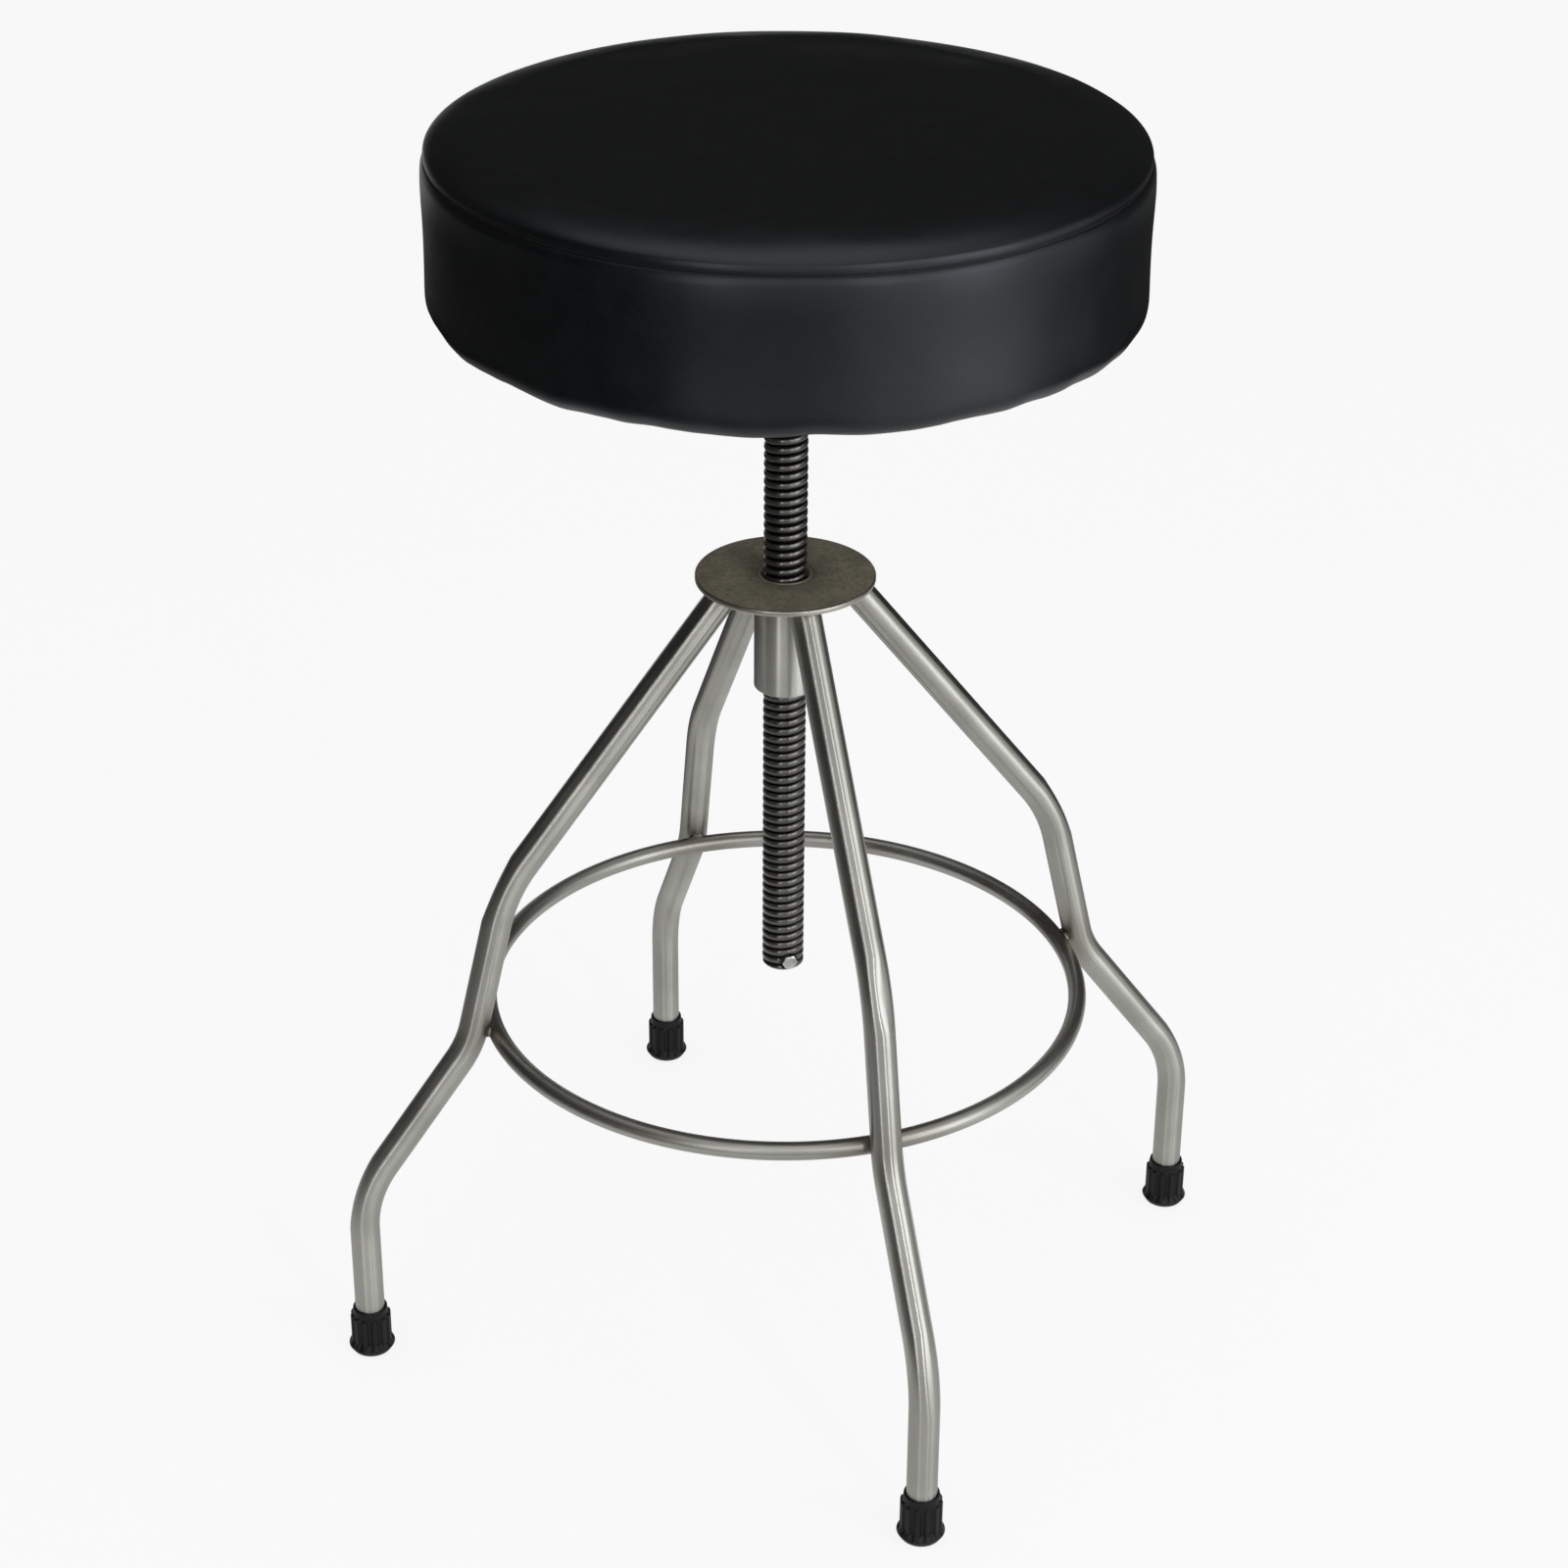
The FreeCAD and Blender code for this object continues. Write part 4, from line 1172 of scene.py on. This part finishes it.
class STOOL_OT_foot_ring(PieceOperator):
    """Round rod inside the legs."""

    bl_idname = "stool.foot_ring"
    bl_label = "Foot ring"

    def build(self, seat, metal, colours):
        shape = rod_circle(RING_ROD_RADIUS, RING_RADIUS, RING_HEIGHT, segments=32, steps=192)
        girth = math.tau * RING_ROD_RADIUS

        def place(co):
            around = math.atan2(co.z - RING_HEIGHT, co.xy.length - RING_RADIUS)
            swing = math.atan2(co.y, co.x)
            return around / math.tau * girth + girth / 2, abs(swing) * RING_RADIUS, girth

        map_metres(shape, place)
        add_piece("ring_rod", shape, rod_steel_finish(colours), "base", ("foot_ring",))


class STOOL_OT_welds(PieceOperator):
    """Weld beads between the ring and the legs, and round each leg under the plate."""

    bl_idname = "stool.welds"
    bl_label = "Welds"

    def build(self, seat, metal, colours):
        finish = rod_steel_finish(colours)
        beads = {"ring_welds": self.ring_bead(metal.weld_size), "plate_welds": self.plate_bead()}
        for name, shape in beads.items():
            copy_round(shape, len(LEG_TURNS))
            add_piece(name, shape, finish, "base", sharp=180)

    def ring_bead(self, size):
        """A rippled lump where the ring meets the right leg."""
        thick, wide, high = 0.34 * size, 0.8 * size, 0.55 * size
        lean = Matrix.Rotation(-math.atan2(CONTACT_UP, CONTACT_OUT), 4, "Y")
        where = Matrix.Translation(RING_CONTACT) @ lean @ Matrix.Diagonal((thick, wide, high, 1))
        shape = bmesh.new()
        bmesh.ops.create_icosphere(shape, subdivisions=4, radius=1, matrix=where)
        for vertex in shape.verts:
            ripple = noise.noise(vertex.co * 900) * 0.25 * MM
            vertex.co += (vertex.co - RING_CONTACT).normalized() * ripple
        return shape

    def plate_bead(self):
        """A bead round the slanting end of the right leg under the plate."""
        bead = 1.9 * MM
        slope = Vector(LEG_CORNERS[-2]) - Vector(LEG_CORNERS[-1])
        stretch = slope.length / abs(slope.y)
        shape = rod_circle(bead, LEG_RADIUS, 0, segments=16, steps=64)
        under = Vector((LEG_CORNERS[-1][0], 0, PLATE_UNDERSIDE))
        where = Matrix.Translation(under) @ Matrix.Diagonal((stretch, 1, 1, 1))
        bmesh.ops.transform(shape, matrix=where, verts=shape.verts)
        for vertex in shape.verts:
            vertex.co += UP * (noise.noise(vertex.co * 700) * 0.3 * MM)
        return shape


def fluted_tip():
    """A rubber tip on the Z axis, with round flutes sunk into its wall."""
    flutes = 12
    flute_half_width = 1.45 * MM
    row = 1.6 * MM
    rib = 10.9 * MM
    wall = 9.55 * MM
    rim = 9.2 * MM
    lip = 3.5 * MM
    rib_low = 6.8 * MM
    rib_high = 22.6 * MM
    inside = LEG_RADIUS + 0.03 * MM
    outline = rounded([
        (0, 0, 0),
        (TIP_BASE_RADIUS - 2.2 * MM, 0, 1.5 * MM),
        (TIP_BASE_RADIUS, lip, 0.5 * MM),
        (rib, rib_low, 1.8 * MM),
        (rib, rib_high, 0.5 * MM),
        (wall, rib_high + 0.7 * MM, 0.3 * MM),
        (rim, TIP_HEIGHT, 0.4 * MM),
        (inside, TIP_HEIGHT, 0.2 * MM),
        (inside, TUBE_END, 0),
        (0, TUBE_END, 0),
    ])
    fine = []
    for first, last in zip(outline, outline[1:]):
        count = max(1, round(abs(last[1] - first[1]) / row)) if first[0] > inside else 1
        fine += [tuple(Vector(first).lerp(Vector(last), step / count)) for step in range(count)]
    fine.append(outline[-1])
    shape = spun(fine, steps=flutes * 20)
    sector = math.tau / flutes
    for vertex in shape.verts:
        reach = vertex.co.xy.length
        if reach <= wall:
            continue
        off = abs((math.atan2(vertex.co.y, vertex.co.x) % sector) - sector / 2) * rib
        across = min(1, off / flute_half_width)
        fade = min(1, max(0, (vertex.co.z - lip) / (rib_low - lip)))
        sunk = (reach - wall) * math.sqrt(1 - across ** 2) * fade
        vertex.co.xy *= 1 - sunk / reach
    return shape


class STOOL_OT_tips(PieceOperator):
    """Four rubber tips: a flared base, a ribbed wall and a thin rim round the tube."""

    bl_idname = "stool.tips"
    bl_label = "Rubber tips"

    def build(self, seat, metal, colours):
        finish = rubber_finish(colours)
        for name, turn in LEG_TURNS.items():
            shape = fluted_tip()
            where = Matrix.Rotation(math.radians(turn), 4, "Z") @ Matrix.Translation((FOOT_REACH, 0, 0))
            bmesh.ops.transform(shape, matrix=where, verts=shape.verts)
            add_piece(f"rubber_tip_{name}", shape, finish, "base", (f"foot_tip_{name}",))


class STOOL_OT_fittings(PieceOperator):
    """Finishes of the frame's own pieces under the seat and inside the feet."""

    bl_idname = "stool.fittings"
    bl_label = "Fittings"

    def build(self, seat, metal, colours):
        repaint(zinc_finish(), "seat_bolts", "seat_washers", "tee_nuts", "tip_washers")
        repaint(black_paint_finish(), "seat_flange")
        repaint(spindle_finish(colours, "dark_collar_steel", threaded=False), "spindle_collar")
        repaint(plywood_finish(), "seat_board")


def add_lamp(name, bearing, height, reach, size, level, colour=(1, 1, 1)):
    """A soft box that faces the stool: its bearing from the front to the right, and how bright it looks."""
    aim = Vector((0, 0, 0.45))
    turn = math.radians(bearing)
    place = Vector((math.sin(turn) * reach, -math.cos(turn) * reach, height))
    light = bpy.data.lights.new(name, "AREA")
    light.shape = "RECTANGLE"
    light.size, light.size_y = size
    light.energy = level * math.pi * light.size * light.size_y
    light.color = colour
    lamp = add_object(name, light)
    lamp.location = place
    lamp.rotation_euler = (aim - place).to_track_quat("-Z", "Y").to_euler()


def add_card(name, tone, first, last, outline):
    """A card bent round the stool from one bearing to another, which only the stool's shine shows."""
    matt = {"Base Color": (tone, tone, tone, 1), "Roughness": 1.0, "Specular IOR Level": 0.0}
    shape = bmesh.new()
    line = add_line(shape, [(0, -reach, height) for reach, height in outline])
    swing = Matrix.Rotation(math.radians(first), 3, "Z")
    bmesh.ops.rotate(shape, verts=shape.verts, cent=ORIGIN, matrix=swing)
    bmesh.ops.spin(shape, geom=line, cent=ORIGIN, axis=UP, angle=math.radians(last - first), steps=48)
    card = add_mesh(name, shape, Finish(name).surface(matt))
    card.visible_camera = False
    card.visible_diffuse = False
    card.visible_shadow = False


class STOOL_OT_stage(bpy.types.Operator):
    """Pale floor, white surround, soft boxes, cards for the shine and the camera."""

    bl_idname = "stool.stage"
    bl_label = "Stage"

    def execute(self, context):
        self.add_surround(context.scene)
        self.add_floor()
        self.add_cards()
        self.add_lights()
        self.add_camera(context.scene)
        context.scene.view_settings.view_transform = "Standard"
        return {"FINISHED"}

    def add_surround(self, scene):
        world = bpy.data.worlds.new("studio")
        world.use_nodes = True
        nodes = Nodes(world.node_tree)
        background = nodes.tree.nodes["Background"].inputs
        nodes.feed(background["Color"], (1, 1, 1, 1))
        nodes.feed(background["Strength"], nodes.by_ray(camera=0.945, mirrored=0.65, other=0.62))
        scene.world = world

    def add_floor(self):
        """A matt floor that takes the shadow, mixed with a glow that the camera and the shine see."""
        finish = Finish("pale_floor")
        material = finish.surface({"Base Color": (0.88, 0.88, 0.88, 1), "Roughness": 0.9})
        matt = Value(finish, finish.shader.outputs[0])
        level = finish.by_ray(camera=1.0, mirrored=0.75, other=0.0)
        glow = finish.node("ShaderNodeEmission", {}, {"Strength": level})
        share = finish.by_ray(camera=0.85, mirrored=0.4, other=0.0)
        mixed = finish.node("ShaderNodeMixShader", {}, {0: share, 1: matt, 2: glow})
        finish.feed(finish.tree.nodes["Material Output"].inputs["Surface"], mixed)
        shape = bmesh.new()
        bmesh.ops.create_grid(shape, x_segments=1, y_segments=1, size=6)
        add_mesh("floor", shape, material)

    def add_cards(self):
        """Dark cards on the floor and round the left and the back, a low grey wall, a pale card behind,
        and grey cards on the floor in front."""
        near, middle, far = 0.55, 1.0, 1.9
        waist, breast, top = 0.35, 0.62, 3.2
        lift = 6 * MM
        add_card("dark_near_card", 0.28, 130, 310, [(near, lift), (middle, lift)])
        add_card("dark_far_card", 0.015, 61, 310, [(middle, lift), (far, lift)])
        add_card("low_wall_card", 0.15, 84, 315, [(far, lift), (far, waist)])
        add_card("back_card", 0.9, 152, 200, [(far - lift, lift), (far - lift, breast)])
        add_card("dark_wall_card", 0.045, 84, 315, [(far, waist), (far, top)])
        add_card("grey_near_card", 0.50, -50, 2, [(near, lift), (middle, lift)])
        add_card("grey_far_card", 0.19, -50, 2, [(middle, lift), (far, lift)])

    def add_lights(self):
        add_lamp("key_box", 38, 0.80, 1.8, (0.85, 1.5), 2.2, (0.92, 0.96, 1.0))
        add_lamp("front_box", -15, 2.0, 2.4, (1.5, 0.9), 0.4)
        add_lamp("left_strip", -40, 1.25, 2.3, (0.10, 2.2), 9.0)
        add_lamp("right_strip", 10, 1.25, 2.5, (0.13, 2.2), 9.0)
        add_lamp("top_box", 0, 2.6, 0.1, (1.6, 1.6), 0.45)

    def add_camera(self, scene):
        data = bpy.data.cameras.new("photo_camera")
        data.sensor_width = 36
        data.lens = 79.08
        forward = Vector((0.2696, 0.8356, -0.4787)).normalized()
        tilt = Quaternion(forward, math.radians(-0.38))
        camera = add_object("photo_camera", data)
        camera.rotation_mode = "QUATERNION"
        camera.rotation_quaternion = tilt @ forward.to_track_quat("-Z", "Y")
        camera.location = (-0.4862, -1.5070, 1.1764)
        scene.camera = camera


PIECE_OPERATORS = (
    STOOL_OT_cushion,
    STOOL_OT_dust_cloth,
    STOOL_OT_staples,
    STOOL_OT_spindle,
    STOOL_OT_stop_bolt,
    STOOL_OT_hub,
    STOOL_OT_plate,
    STOOL_OT_legs,
    STOOL_OT_foot_ring,
    STOOL_OT_welds,
    STOOL_OT_tips,
    STOOL_OT_fittings,
    STOOL_OT_stage,
)


class STOOL_PT_panel(bpy.types.Panel):
    """Lists the stool's pieces, sizes and colours."""

    bl_idname = "STOOL_PT_panel"
    bl_label = "Clinic Stool"
    bl_space_type = "VIEW_3D"
    bl_region_type = "UI"
    bl_category = "Stool"

    def draw(self, context):
        scene = context.scene
        for group in (scene.stool_seat, scene.stool_metal, scene.stool_colours):
            for name in group.__annotations__:
                self.layout.prop(group, name)
        for operator in PIECE_OPERATORS:
            self.layout.operator(operator.bl_idname)


CLASSES = (SeatSizes, MetalSizes, FinishColours, *PIECE_OPERATORS, STOOL_PT_panel)


def register():
    for item in CLASSES:
        bpy.utils.register_class(item)
    bpy.types.Scene.stool_seat = PointerProperty(type=SeatSizes)
    bpy.types.Scene.stool_metal = PointerProperty(type=MetalSizes)
    bpy.types.Scene.stool_colours = PointerProperty(type=FinishColours)


def unregister():
    del bpy.types.Scene.stool_colours
    del bpy.types.Scene.stool_metal
    del bpy.types.Scene.stool_seat
    for item in reversed(CLASSES):
        bpy.utils.unregister_class(item)


def main():
    register()
    for operator in PIECE_OPERATORS:
        group, name = operator.bl_idname.split(".")
        getattr(getattr(bpy.ops, group), name)()


if __name__ == "__main__":
    main()
